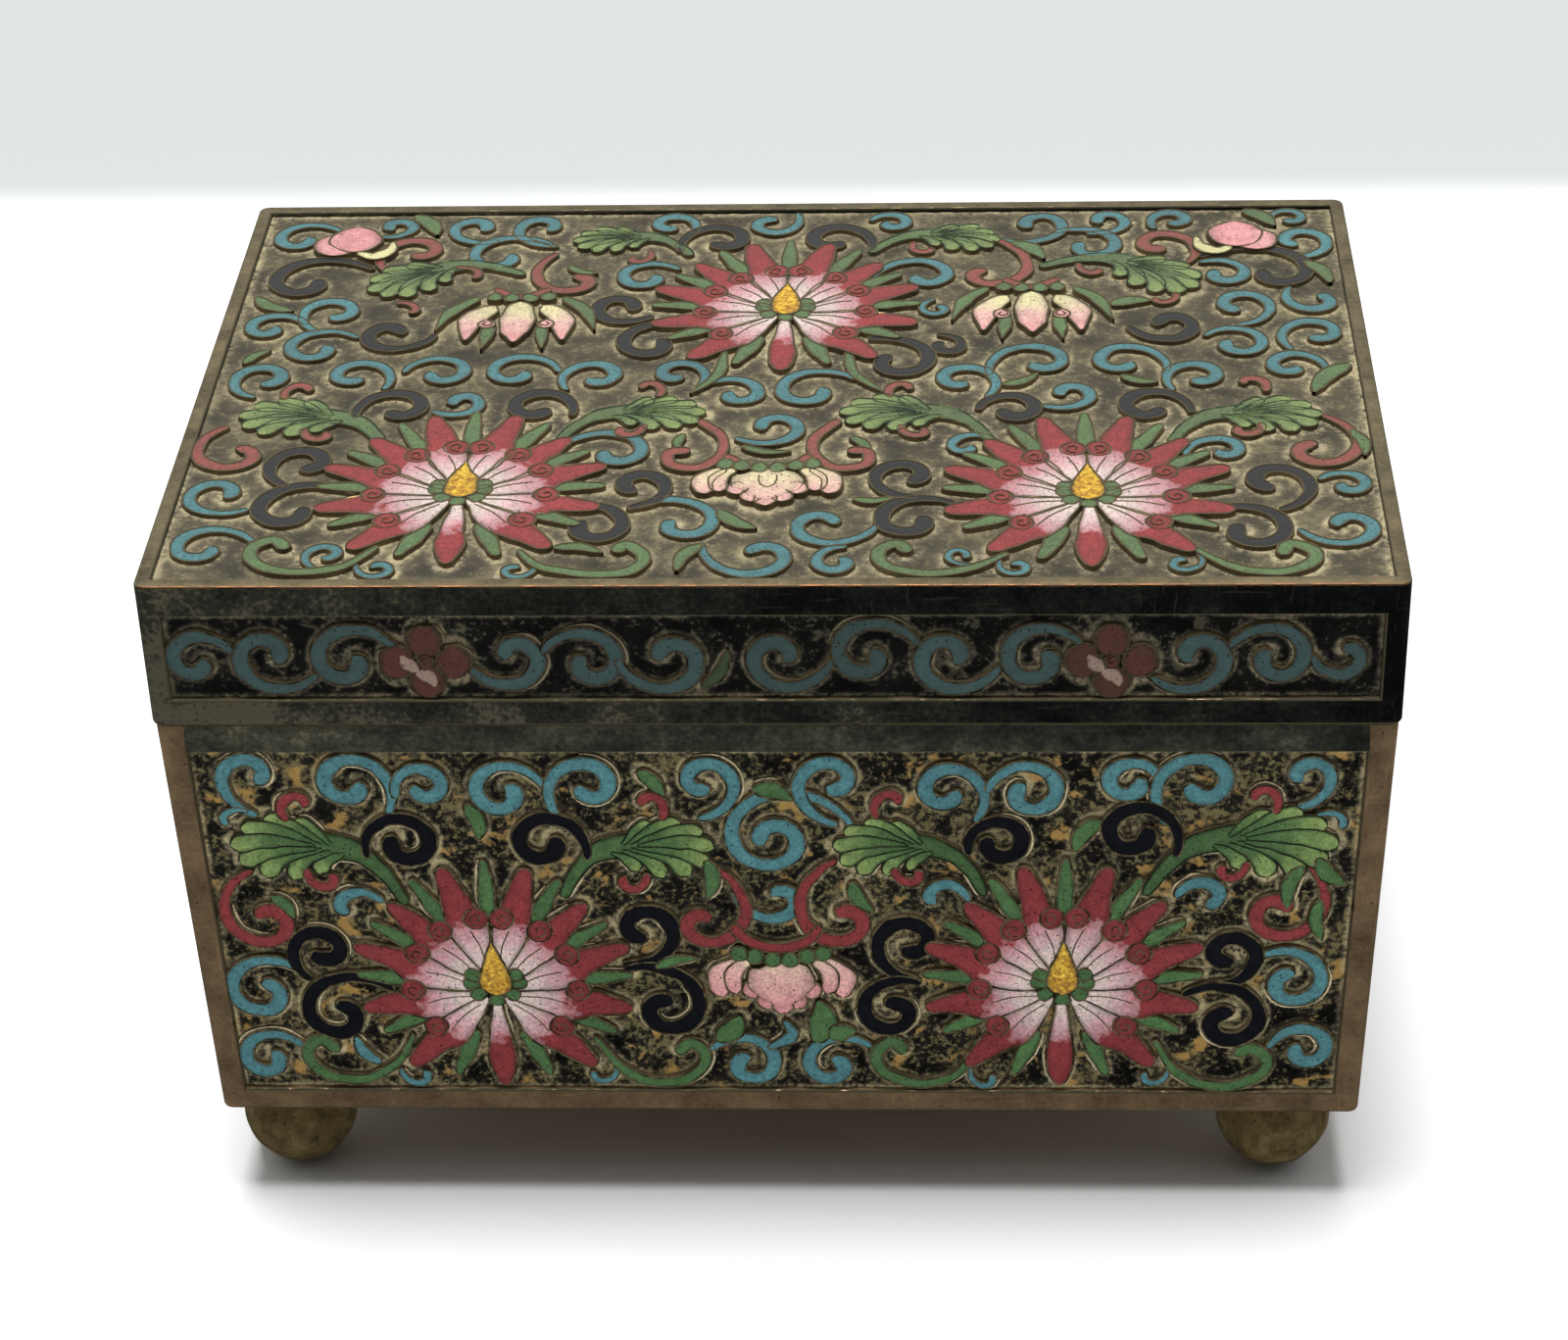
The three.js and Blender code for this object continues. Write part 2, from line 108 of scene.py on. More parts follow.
# ---- the drawings: every place below is millimetres on its panel, u to the right and v up ----
# A scroll is (centre u, centre v, outer radius, tail u, tail v, turn in degrees, + to the left).
TOP_SCROLLS = {
    Enamel.SKY: (
        (-69.3, 22.2, 4.2, -64.8, 18.5, -345), (-69.2, 9.3, 4.1, -63, 10.5, 345),
        (-53.8, 7.8, 2.6, -54.6, 4.6, -345), (-47, 4.4, 2.2, -49.6, 5.4, 345),
        (-30.5, 4, 1.9, -28.2, 6, -345), (-41.2, 44.9, 3.1, -44.8, 42.8, 345),
        (-20.4, 32, 4.1, -27.3, 33.8, -345), (-5.7, 46.9, 3.5, -10.5, 49, -345),
        (3.5, 47.6, 4.7, 9.6, 50.3, 345), (-0.8, 38.3, 4, -5.6, 35.6, 345),
        (-11, 14.7, 4.4, -18, 18, -345), (-1.2, 7.3, 4.2, -8.3, 10.2, 345),
        (6, 14.4, 4.1, 12.7, 14.2, -345), (8, 5.6, 2.9, 9.2, 9.2, 345), (22.8, 7.2, 1.9, 24, 5.2, -345),
        (23.4, 33.2, 2.5, 28, 33.2, 345), (36.9, 46.6, 3.2, 33, 43.6, 345),
        (55.7, 32, 2.9, 50.8, 30.6, -345), (70.5, 23.4, 3, 66.9, 24.5, -345),
        (69.6, 13.7, 4, 63.5, 13, 345), (29.5, 4.4, 2, 27.6, 6, 345), (49.2, 5.2, 2, 51.2, 7.4, -345),
        (-69, 91.3, 3.8, -63.5, 93.6, 345), (-55.8, 94.8, 3, -57.6, 92, 345),
        (-44.7, 94.5, 3.5, -41, 90.4, -345), (-35.2, 94.6, 3.5, -32.5, 88.7, -345),
        (-40.4, 85.6, 4.5, -33, 88.5, 345), (-61.2, 69.7, 4.3, -62.5, 64.3, -345),
        (-69.5, 65.4, 3.4, -64.5, 66.2, 345), (-62.4, 59.6, 4.3, -57, 62.4, 345),
        (-68, 51.5, 4.2, -68.3, 46.5, -345), (-56.1, 52.3, 4, -52, 48.3, 345),
        (-44.8, 53, 4.2, -49.8, 52.8, -345), (-35.2, 53, 4.2, -29.4, 52.8, 345),
        (-24.5, 51.8, 4.1, -28, 48, -345), (-14, 52.4, 3.5, -11, 48.8, 345),
        (-17.5, 95, 3.1, -14.2, 92, 345), (-3.4, 95, 3.5, 0, 98.2, -330),
        (13.4, 95.2, 3, 10.3, 95.6, -345), (-20, 79.2, 4, -15.4, 81.4, 345),
        (18, 79.3, 4.2, 11, 78.4, -345), (19.6, 69.6, 2.2, 19.6, 72.3, 345),
        (22.9, 50.4, 4, 26, 45.5, 345), (33.5, 94.4, 4, 28.8, 89.7, 345),
        (43, 95.4, 3.1, 40, 91.6, 345), (52.3, 95.4, 3.1, 49.7, 92.5, -345),
        (40.6, 87.7, 4.3, 35.6, 91.5, -345), (68.4, 95.8, 2.7, 65.7, 94, -345),
        (69.2, 88.9, 4.2, 67.2, 83.9, 345), (58.4, 79.3, 3.6, 55.2, 82.5, -345),
        (70, 71.7, 3.8, 66.9, 75.3, 300), (60, 70.4, 4.3, 59.2, 64.7, 345),
        (69.4, 62.4, 4.1, 66.1, 57.8, -345), (59.1, 59.8, 4.3, 54.8, 61.6, -345),
        (33.2, 55.1, 4.2, 26.7, 51.2, -345), (43.7, 55.1, 4.3, 49.4, 52.2, 345),
        (53.5, 51.1, 3.9, 50.2, 47.2, -345), (65.4, 53.6, 3.6, 70, 51.7, 345),
    ),
    Enamel.NAVY: (
        (-59.5, 29.6, 4.2, -60.5, 23.7, -345), (-59.7, 17.9, 4.5, -52, 22, 345),
        (-49.3, 43.6, 4.5, -54.6, 41, -330), (-31.4, 43.7, 4.5, -26.9, 41.3, 345),
        (-17, 23.8, 3.9, -18.1, 18.5, 345), (-21.8, 14, 4.4, -26, 18.2, -345),
        (16, 25.9, 4.3, 17.6, 20.7, -345), (16.7, 15.1, 4.3, 22.2, 19, 345),
        (29.6, 42.5, 4.1, 25, 42.2, -345), (46.8, 43, 4.4, 52.2, 41.3, 345),
        (61.2, 24.3, 4.2, 61.5, 17.3, 345), (58, 12.6, 4.7, 53, 17.4, -345),
        (-66.4, 78.3, 4.8, -57.5, 82, 345), (-53, 63.4, 4, -46.8, 63.4, -345),
        (-10, 90.2, 4.3, -15.5, 86.6, -345), (5.3, 90.1, 4.3, 10.5, 86.6, 345),
        (-22.6, 70.6, 4.2, -18.1, 68.2, -345), (-18, 60.3, 4.2, -13.8, 65.4, 345),
        (20.9, 59.3, 2.6, 19.6, 62.4, -345), (14.6, 55.2, 4.6, 10.6, 61.2, -345),
        (65.4, 79.3, 4.5, 55.3, 84.2, -345), (50.4, 64.8, 4.3, 45, 64.6, 345),
    ),
    Enamel.RED: (
        (-68.6, 31.8, 4.2, -70.5, 39, 330), (67, 31.8, 4, 68.5, 40.5, -345),
        (-51.8, 87.4, 3.8, -55.6, 81.5, -345), (-29.3, 78.2, 3.2, -32.5, 86.5, 345),
        (50, 88, 3.8, 53.5, 82.3, 345), (26.2, 79.4, 3.3, 27, 90, -345),
    ),
}
FRONT_SCROLLS = {
    Enamel.SKY: (
        (-64.9, 54.2, 3.5, -64.6, 47.8, -330), (-68.2, 47, 2.1, -65.7, 48.4, 200),
        (-53, 52.75, 4.3, -48.5, 48, 400), (-43.5, 52.4, 3.6, -47, 50.5, -380),
        (-34, 51.4, 4.2, -28.3, 51.7, 400), (-23, 52.5, 4, -26.5, 46.75, -400),
        (-8.75, 53.25, 3.8, -9.75, 47.5, 380), (-54.5, 33.25, 3.2, -50.25, 34.25, 220),
        (-67.75, 19.5, 4.6, -61.75, 22.75, 400), (-68.5, 8.5, 3.8, -63.5, 10.5, 380),
        (-48.5, 5.75, 2.2, -51, 7, 260), (-24.5, 6, 2, -22.4, 7.8, -260),
        (-4.5, 7.75, 4, -9.75, 10, -400), (-0.5, 44, 4.8, 9.5, 46, 540),
        (0, 34.8, 3.3, -5.6, 37.2, 335), (7, 53.25, 3.8, 7.7, 46.5, -380),
        (21, 51.75, 4, 24.5, 47, 400), (31.5, 51.5, 4.4, 26.2, 51.5, -400),
        (43.5, 53, 3.8, 47.2, 52.5, 380), (52.5, 52.75, 4.3, 48.5, 46.5, -400),
        (65.2, 54, 3.3, 64.2, 49.2, 320), (69.1, 46.5, 2.1, 66.6, 48, -200),
        (20.5, 35, 3.2, 24, 34.5, 240), (53.5, 35, 3.6, 50, 35, -260),
        (65.5, 21.5, 4.4, 60.7, 25.5, -400), (68, 10.5, 3.8, 63.2, 10.5, -380),
        (6.2, 7.5, 3.6, 11.5, 10.7, 400), (26.5, 5.5, 2, 24.4, 7.2, 260), (48, 6, 2, 50.2, 7.6, -260),
    ),
    Enamel.NAVY: (
        (-46.8, 43.6, 4.6, -51.6, 41.2, -410), (-29.3, 43.6, 4.3, -24, 41, 410),
        (-59, 26.6, 3.8, -61, 21.6, -400), (-58, 15.75, 4.2, -50.5, 20, 420),
        (-17.5, 30.1, 4.1, -20.6, 24.3, 390), (-15.2, 16.8, 4.2, -20.4, 23.4, -420),
        (27.8, 43.7, 4.3, 24, 41.8, -400), (44.4, 45.2, 4.5, 49.5, 41.5, 410),
        (16.5, 28, 4.2, 17.5, 21.8, -400), (14.2, 16.5, 4.2, 18, 21.2, 420),
        (57.2, 26.2, 3.9, 54.6, 21.3, 400), (57.6, 15, 4.4, 51.6, 19.3, -420),
    ),
    Enamel.RED: (
        (-65.6, 31.2, 4.1, -66.5, 39.4, 400), (62.8, 32.8, 4.1, 66.3, 40.2, -400),
        (-9.9, 30.9, 3.3, -8.3, 40, -400), (8.4, 31.4, 3.7, 7.5, 41, 400),
    ),
}

# Small red curls that grow beside the leaves, written as the scrolls are.
TOP_CURLS = (
    (-58.5, 36.7, 1.8, -60.6, 38.2, 270), (-62.5, 48.3, 1.8, -64.2, 45.8, -270),
    (-17.5, 48.5, 1.7, -16.2, 46, 270), (-19.5, 37.5, 1.7, -17.4, 38.9, -270),
    (15.5, 48, 1.7, 14, 45.6, -270), (17.5, 37, 1.7, 15.5, 38.5, 270),
    (58.5, 37, 1.8, 60.6, 38.6, -270), (60, 49, 1.8, 61.6, 46.6, 270),
    (-21.5, 84.8, 1.6, -19.8, 87, -260), (18, 87, 1.6, 16.5, 89, 260),
    (-51.2, 70, 1.5, -53.2, 72.2, -220), (-43.8, 80, 1.5, -46.2, 82.2, -220),
    (41, 80.6, 1.5, 38.8, 82.4, 240), (49.5, 72, 1.5, 51.6, 73.8, -240),
)
FRONT_CURLS = (
    (-59.5, 49.7, 2, -61.1, 47, -280), (-57.3, 38.1, 2, -59.4, 39.7, 280),
    (-15.8, 49.7, 1.9, -14.5, 47.2, 270), (-18.7, 37.8, 1.9, -16.6, 39, -270),
    (14.3, 50, 1.9, 12.7, 47.4, -270), (16.8, 38.8, 1.9, 14.7, 39.9, 270),
    (59.7, 50.7, 1.9, 61.5, 48.2, 270), (56.3, 39.6, 1.9, 58.4, 40.9, -270),
)

# Curling leaves: (root u, root v, head u, head v); they open outwards from root to head.
TOP_LEAVES = (
    (-49.5, 32.5, -64, 42.6), (-28, 35, -14.6, 43), (27, 34, 12.8, 43), (49, 34, 63.4, 42),
    (-14, 85.5, -26.5, 91.5), (10.5, 86, 24, 91.3), (-36.5, 80.2, -53.5, 79.6), (33.5, 81.6, 51, 79.6),
)
FRONT_LEAVES = (
    (-47.5, 34, -62.8, 44.4), (-27.5, 35, -13.2, 44.2), (26, 35.5, 12.2, 44.2), (46, 35.5, 63.4, 45.2),
)

# Green tendrils, as the points that they run through, from the flower to the curled end.
TOP_TENDRILS = (
    ((-47.5, 9.5), (-51.5, 4.7), (-57.5, 3.6), (-62, 5.6), (-63, 9.2), (-60.4, 11), (-58.6, 8.8)),
    ((-30.5, 8.5), (-27.6, 4.8), (-22, 3), (-17, 3.4), (-15.1, 6.6), (-17.3, 9.5), (-18.9, 7.8)),
    ((28.5, 7.5), (24.4, 4.2), (19, 2.9), (14.3, 4.4), (12.9, 7.6), (15.2, 9.7), (16.7, 7.6)),
    ((49.5, 10), (54.6, 4.6), (60, 2.9), (64.2, 4.8), (65, 7.6), (62.2, 9.4), (61, 6.8)),
)
FRONT_TENDRILS = (
    ((-48.6, 12.6), (-51.2, 8), (-56, 5), (-61, 5.9), (-63.1, 9.2), (-61.2, 11.7), (-58.8, 9.6)),
    ((-24.9, 12.4), (-21.5, 7), (-17, 4.6), (-12.4, 5.6), (-10.3, 9), (-12.3, 11.3), (-14.2, 9.4)),
    ((25.2, 12), (23, 6.6), (18.4, 4.5), (13.3, 6.2), (12, 9.4), (14.2, 11.6), (16, 9.6)),
    ((48.2, 12), (51.4, 6.6), (57, 4.1), (62, 5.9), (63.1, 8.6), (61, 10.7), (58.8, 9.4)),
)

# Small single leaves: (from u, from v, to u, to v, width).
TOP_SPRIGS = (
    (43.5, 51, 48.4, 49.3, 2), (28.2, 48.8, 32.8, 51.6, 2), (71.8, 36.8, 73, 30.3, 2),
    (-12.1, 36.4, -12.5, 32.2, 1.6), (9, 35.6, 11.6, 31, 1.8), (-4.7, 33.2, 1.7, 31.9, 1.5),
    (-6.7, 17.8, -1.9, 13.3, 2.6), (-8.4, 9.8, -11.1, 3.6, 2.3), (-26.2, 9.1, -20.2, 7.9, 2),
    (9.6, 20.3, 14.7, 20.5, 1.8), (-53.6, 98.1, -49.9, 92.2, 3), (-30.7, 82.7, -26.6, 80.3, 1.8),
    (29.9, 88.8, 34.2, 83.8, 2.8), (61.9, 98, 66.1, 93.3, 2.8), (69.4, 82.7, 72.4, 76.3, 2.6),
    (42.8, 70.4, 48.2, 71.6, 2.8), (-71.2, 55.3, -68.3, 59.2, 1.9), (-72.6, 74.2, -66.8, 69.9, 2.4),
    (73.1, 53.7, 67.9, 46.3, 3), (-8, 58, -11.9, 46.8, 1.8), (8, 58.2, 13, 46.9, 1.8),
)
FRONT_SPRIGS = (
    (-64.8, 35.4, -62, 31.6, 2.2), (-38.6, 49.6, -37.2, 44.2, 2.6), (-16.9, 54.8, -13.9, 50.2, 2.5),
    (-16.2, 23.6, -10.8, 25.2, 2), (-2.9, 52, 2.2, 50.3, 2.9), (-8.8, 11.6, -5.6, 15.9, 3.6),
    (4.2, 11.3, 4.6, 18.4, 4.2), (6, 12, 9.4, 13.4, 3.4), (40.2, 47.2, 37, 42.4, 2.9),
    (67.3, 41.4, 71.2, 37.1, 2.6), (68.2, 34.9, 68.8, 28.3, 2.2), (65.6, 40.2, 64, 33.4, 2.5),
    (9.2, 37.6, 12, 32.8, 2.4), (-8.9, 41, -9, 34.8, 2.4),
)

TOP_LOTUSES = ((-39, 22.3), (38.5, 21.2), (-0.5, 69.5))
FRONT_LOTUSES = ((-37.2, 21), (36.1, 21.3))

# Half-open buds seen from the side: (u, v of the cup, width, height, petals).
TOP_BUDS = ((-36.3, 73.4, 19, 13), (32.3, 75.4, 19, 13))

# The lid's front skirt: running scrolls, and two flowers of four round petals.
SKIRT_SCROLLS = (
    (-69.7, 9.2, 3.6, -64.8, 10.3, 345), (-60.8, 10, 4.2, -54.6, 7.6, -365),
    (-51.3, 9.1, 4.2, -45, 10.9, 365), (-30.6, 9.8, 3.7, -36.4, 8.4, 345),
    (-21.5, 8.9, 4, -27.4, 10.2, -375), (-11.9, 9.4, 4.3, -18.4, 9.6, 350),
    (0.9, 9.7, 4, 7.6, 9.6, -375), (11.3, 9.8, 4.1, 18, 11.2, 375),
    (21.2, 9.6, 4.1, 27.6, 8.4, -375), (31.8, 9.2, 4.4, 37.2, 11.4, 375),
    (51.2, 9.6, 4.1, 45.6, 6.8, 350), (60.5, 9.4, 4.3, 54.8, 10.9, -375),
    (68.6, 9.6, 3.3, 64.8, 9.8, 300),
)
SKIRT_FLOWERS = ((-41.6, 9.1), (40.9, 9.1))
SKIRT_SPRIGS = ((-8.4, 5.2, -5, 10.8, 2),)

# A plainer drawing for the sides that are seldom seen, given for the right half.
PLAIN_SCROLLS = {
    Enamel.SKY: (
        (27.5, 12.4, 4.2, 21.4, 10, -345), (28.5, 48.4, 4.2, 22, 50.6, 345),
        (6.6, 52, 3.8, 12.8, 50.6, 345), (7, 8, 3.8, 13, 8.6, -345), (36.6, 30.4, 4.2, 36, 37, 345),
        (38.4, 7.6, 3.4, 38.6, 14, 330), (38.4, 53, 3.4, 38.4, 46.6, -330), (16.4, 5.6, 3, 21, 4.4, 330),
        (38.2, 42.6, 3, 37.8, 37.8, -320), (38.4, 19.4, 3, 37.8, 24.4, 320),
    ),
    Enamel.NAVY: (
        (24.5, 20, 4.5, 18.6, 25.4, -345), (24.5, 40, 4.5, 17.6, 35.4, 345),
        (17, 47.6, 3.6, 21.4, 52.6, -330),
    ),
    Enamel.RED: ((33.6, 20.8, 3, 31.4, 27, 345), (31, 42.2, 2.8, 29.4, 36.6, -345)),
}
WIDE_SCROLLS = {
    Enamel.SKY: (
        (48, 10.4, 4.2, 41.8, 8.6, -345), (59.6, 12.8, 4.2, 53.4, 11, 345),
        (50, 50.6, 4.2, 43.6, 50, -345), (61.4, 48.6, 4.2, 55.6, 51.8, 345),
        (66.8, 22.4, 3.8, 66.6, 28.6, 345),
        (66.4, 37.2, 3.6, 66.2, 31.4, -345), (39.4, 8, 3.2, 34, 7, 330),
    ),
    Enamel.NAVY: ((48.2, 24, 4.4, 42, 27.6, -345), (48.2, 38.6, 4.4, 42.2, 34.4, 345)),
    Enamel.RED: ((57.6, 29.8, 3.6, 54.4, 36.2, 345),),
}
PLAIN_SPRIGS = (
    (14.6, 9.6, 19, 14.2, 2.2), (31.6, 34, 30.8, 28.4, 2), (30.6, 54.4, 35, 51.4, 2.2),
    (32.8, 4.6, 30.6, 8.2, 2),
    (1.6, 55.6, 3.4, 58, 1.6), (24.8, 31, 29, 30.2, 2),
)


# ---- cells: the outline and section of one enamelled strand ----


def smooth_path(points: Sequence[Point], count: int = 64) -> np.ndarray:
    """A smooth curve through a few places.

    Args:
        points: the places, in millimetres.
        count: how many points the curve gets.

    Returns:
        The curve's points, one row each.
    """
    given = np.asarray(points, dtype=float)
    if len(given) == 2:
        return given[0] + (given[1] - given[0]) * np.linspace(0, 1, count)[:, None]
    held = np.vstack([2 * given[0] - given[1], given, 2 * given[-1] - given[-2]])
    spans = len(held) - 3
    along = np.linspace(0, spans, count)
    first = np.minimum(along.astype(int), spans - 1)
    part = (along - first)[:, None]
    a, b, c, d = (held[first + step] for step in range(4))
    curve = 2 * b + (c - a) * part + (2 * a - 5 * b + 4 * c - d) * part**2
    return 0.5 * (curve + (3 * b - a - 3 * c + d) * part**3)


def heading(degrees: float) -> np.ndarray:
    """The unit way that points at some angle from the right."""
    return np.array([math.cos(math.radians(degrees)), math.sin(math.radians(degrees))])


def scaled(widths: Sequence[Point], size: float) -> list[Point]:
    """The (share of the length, half width) pairs with every width times a size."""
    return [(share, half * size) for share, half in widths]


def spiral_path(centre: Point, ring: float, tail: Point, turn: float, eye: float) -> np.ndarray:
    """A scroll's middle line, from its tail round the ring and in to its eye.

    Args:
        centre: the scroll's centre.
        ring: radius of the outer turn's middle line.
        tail: where the line starts.
        turn: how far it winds in degrees, anticlockwise if positive.
        eye: how much of the ring's radius is left at the eye.

    Returns:
        The line's points, one row each.
    """
    start = math.atan2(tail[1] - centre[1], tail[0] - centre[0])
    reach = math.hypot(tail[0] - centre[0], tail[1] - centre[1])
    t = np.linspace(0, 1, 120)
    radius = ring * (1 - (1 - eye) * t**2.4) + (reach - ring) * (1 - t) ** 4
    angle = start + math.radians(turn) * t
    return np.column_stack([centre[0] + radius * np.cos(angle), centre[1] + radius * np.sin(angle)])


def station_distances(length: float, cap: float, count: int) -> np.ndarray:
    """Distances along a strand at which its section is set, crowded into its rounded ends.

    Args:
        length: the strand's length.
        cap: how far its rounded ends reach in.
        count: how many distances there are.

    Returns:
        The distances from its start.
    """
    if length < 3 * cap or count < 12:
        return length * (1 - np.cos(np.linspace(0, math.pi, count))) / 2
    ends = cap * np.array([0, 0.05, 0.22, 0.55])
    middle = np.linspace(cap, length - cap, count - 8)
    return np.concatenate([ends, middle, length - ends[::-1]])


@dataclass(frozen=True)
class CellSection:
    """The section of a cell: a wire standing each side of the glass, all in millimetres."""

    rise: float = 0.6  # the wires' tops over the panel's ground
    root: float = 0.15  # how far the cell reaches below the ground
    flare: float = 0.05  # how far its wall leans out to the root
    wire: float = 0.21  # thickness of each wire
    sunk: float = 0.06  # the glass's edge below the wires' tops
    crown: float = 0.05  # the glass's middle above its edge

    def across(self, half: np.ndarray, inner: np.ndarray) -> np.ndarray:
        """How far each of the section's 11 points lies to the left of the middle line.

        Args:
            half: the cell's half width at each station.
            inner: the glass's half width at each station.

        Returns:
            A row of 11 places for each station.
        """
        glass = np.column_stack([inner, inner * 0.96, inner * 0.58])
        left = np.column_stack([half + self.flare, half, glass])
        return np.hstack([-left, np.zeros((len(half), 1)), left[:, ::-1]])

    def heights(self, inner: np.ndarray, lift: float) -> np.ndarray:
        """How high each of the section's 11 points stands above the panel's ground.

        Args:
            inner: the glass's half width at each station.
            lift: how far the cell stands above the usual ones.

        Returns:
            A row of 11 heights for each station.
        """
        top = np.full_like(inner, self.rise + lift)
        glass = top - np.minimum(self.sunk, inner * 0.4)
        crown = self.crown * np.minimum(1, inner / 0.9)
        left = np.column_stack([np.full_like(inner, -self.root), top, top, glass, glass + 0.64 * crown])
        return np.hstack([left, (glass + crown)[:, None], left[:, ::-1]])


# How near each of the section's 11 points is to the rim: 0 in the middle, 1 at the wires.
RIM = np.array([1, 1, 1, 0.96, 0.58, 0, 0.58, 0.96, 1, 1, 1])


@dataclass
class Stroke:
    """One cell on a panel: its middle line, its half width at each station, and its glass."""

    enamel: Enamel
    path: np.ndarray
    half: np.ndarray
    lift: float
    grade: np.ndarray
    tone: float
    glazed: bool = True
    rimless: bool = False


# How many sections a cell is made with.
SHORT, MEDIUM, LONG = 15, 30, 48

LAYER = 0.0006  # how much higher each later cell stands, so that it covers those before it
WOBBLE = 0.05  # how far the bender's hand strays, and the share that a width strays
KNOT = 2.2  # from one stray to the next
FURTHER = 22  # degrees that a long scroll winds on past its listed turn


@dataclass
class Drawing:
    """The strokes drawn on one panel, added motif by motif."""

    band: float = 2.6
    tone: float = 1.0
    strokes: list[Stroke] = field(default_factory=list)
    rng: np.random.Generator = field(default_factory=lambda: np.random.default_rng(SEED))

    def add(
        self,
        enamel: Enamel,
        points: np.ndarray,
        widths: Sequence[Point],
        caps: tuple[bool, bool] = (True, True),
        lift: float = 0.0,
        grade: Point = (0.0, 0.0),
        glazed: bool = True,
        rimless: bool = False,
        stations: int = 0,
    ) -> None:
        """Adds one cell along a line.

        Args:
            enamel: the glass that fills it.
            points: the middle line.
            widths: (share of the length, half width) pairs.
            caps: whether its start and its end are rounded; otherwise the widths end the shape.
            lift: how far it stands above the usual cells.
            grade: the glass's place on its run of colours at the start and at the end.
            glazed: False for a bare wire.
            rimless: True where its glass runs on into the cells under it with no wire between.
            stations: how many sections it is made with; by its length if 0.
        """
        steps = np.hypot(*np.diff(points, axis=0).T)
        run = np.concatenate([[0], np.cumsum(steps)])
        length = run[-1]
        stations = stations or (SHORT if length < 7 else MEDIUM if length < 17 else LONG)
        at, size = zip(*widths)
        cap = max(0.15, float(np.interp(1, at, size)))
        distances = station_distances(length, min(cap, length / 2.02), stations)
        share = distances / length
        half = np.interp(share, at, size)
        for rounded, near in zip(caps, (distances, length - distances)):
            if rounded:
                reach = min(max(size[0] if near is distances else size[-1], 0.05), length / 2)
                half = half * np.sqrt(1 - (1 - np.minimum(1, near / reach)) ** 2)
        path = np.column_stack([np.interp(distances, run, points[:, axis]) for axis in (0, 1)])
        if glazed:
            knots = np.linspace(0, 1, 3 + int(length / KNOT))
            shake = self.rng.normal(0, 1, (3, len(knots)))
            path = path + np.column_stack([WOBBLE * np.interp(share, knots, row) for row in shake[:2]])
            half = half * (1 + WOBBLE * np.interp(share, knots, shake[2]))
        order = LAYER * len(self.strokes)
        grades = grade[0] + (grade[1] - grade[0]) * share
        level = math.sqrt(self.tone) if enamel in (Enamel.LOTUS, Enamel.BLUSH, Enamel.SEED) else self.tone
        tone = float(self.rng.normal(level, 0.04))
        self.strokes.append(Stroke(enamel, path, half, lift + order, grades, tone, glazed, rimless))

    def wire(self, points: np.ndarray, lift: float = 0.1, half: float = 0.13) -> None:
        """Adds a bare wire that draws a vein or a curl on the glass."""
        self.add(Enamel.GREEN, points, ((0, half), (1, half)), lift=lift, glazed=False)

    def scroll(self, enamel: Enamel, *row: float) -> None:
        """Adds a scroll.

        Args:
            enamel: its glass.
            *row: centre u, centre v, outer radius, tail u, tail v and the turn in degrees.
        """
        u, v, radius, tail_u, tail_v, turn = row
        small = radius < 2.8
        band = self.band * (0.78 if small else 1.0) * (1.04 if enamel is Enamel.NAVY else 1.0)
        band = min(band, radius * 0.7)
        if abs(turn) > 300:
            turn += math.copysign(FURTHER, turn)
        path = spiral_path((u, v), radius - band / 2, (tail_u, tail_v), turn, 0.42 if small else 0.36)
        self.add(enamel, path, scaled(SCROLL_WIDTHS, band), stations=0 if small else LONG)

    def scrolls(self, rows: dict[Enamel, Sequence[Sequence[float]]], mirrored: bool = False) -> None:
        """Adds many scrolls.

        Args:
            rows: the scrolls of each glass.
            mirrored: whether their mirror images are added, left of the middle.
        """
        for enamel, group in rows.items():
            for u, v, radius, tail_u, tail_v, turn in group:
                self.scroll(enamel, u, v, radius, tail_u, tail_v, turn)
                if mirrored:
                    self.scroll(enamel, -u, v, radius, -tail_u, tail_v, -turn)

    def motifs(self, curls: Sequence, leaves: Sequence, sprigs: Sequence, tendrils: Sequence) -> None:
        """Adds the small forms among the scrolls.

        Args:
            curls: red curls, each as curl takes it.
            leaves: curling leaves, each as acanthus takes it.
            sprigs: single leaves, each as sprig takes it.
            tendrils: tendrils, each as tendril takes it.
        """
        for rows, draw in ((curls, self.curl), (leaves, self.acanthus), (sprigs, self.sprig)):
            for row in rows:
                draw(*row)
        for places in tendrils:
            self.tendril(places)

    def curl(self, *row: float) -> None:
        """Adds a small red curl.

        Args:
            *row: centre u, centre v, outer radius, tail u, tail v and the turn in degrees.
        """
        u, v, radius, tail_u, tail_v, turn = row
        path = spiral_path((u, v), radius * 0.64, (tail_u, tail_v), turn, 0.5)
        widths = ((0, radius * 0.34), (0.5, radius * 0.44), (1, radius * 0.46))
        self.add(Enamel.RED, path, widths, lift=0.02, stations=MEDIUM)

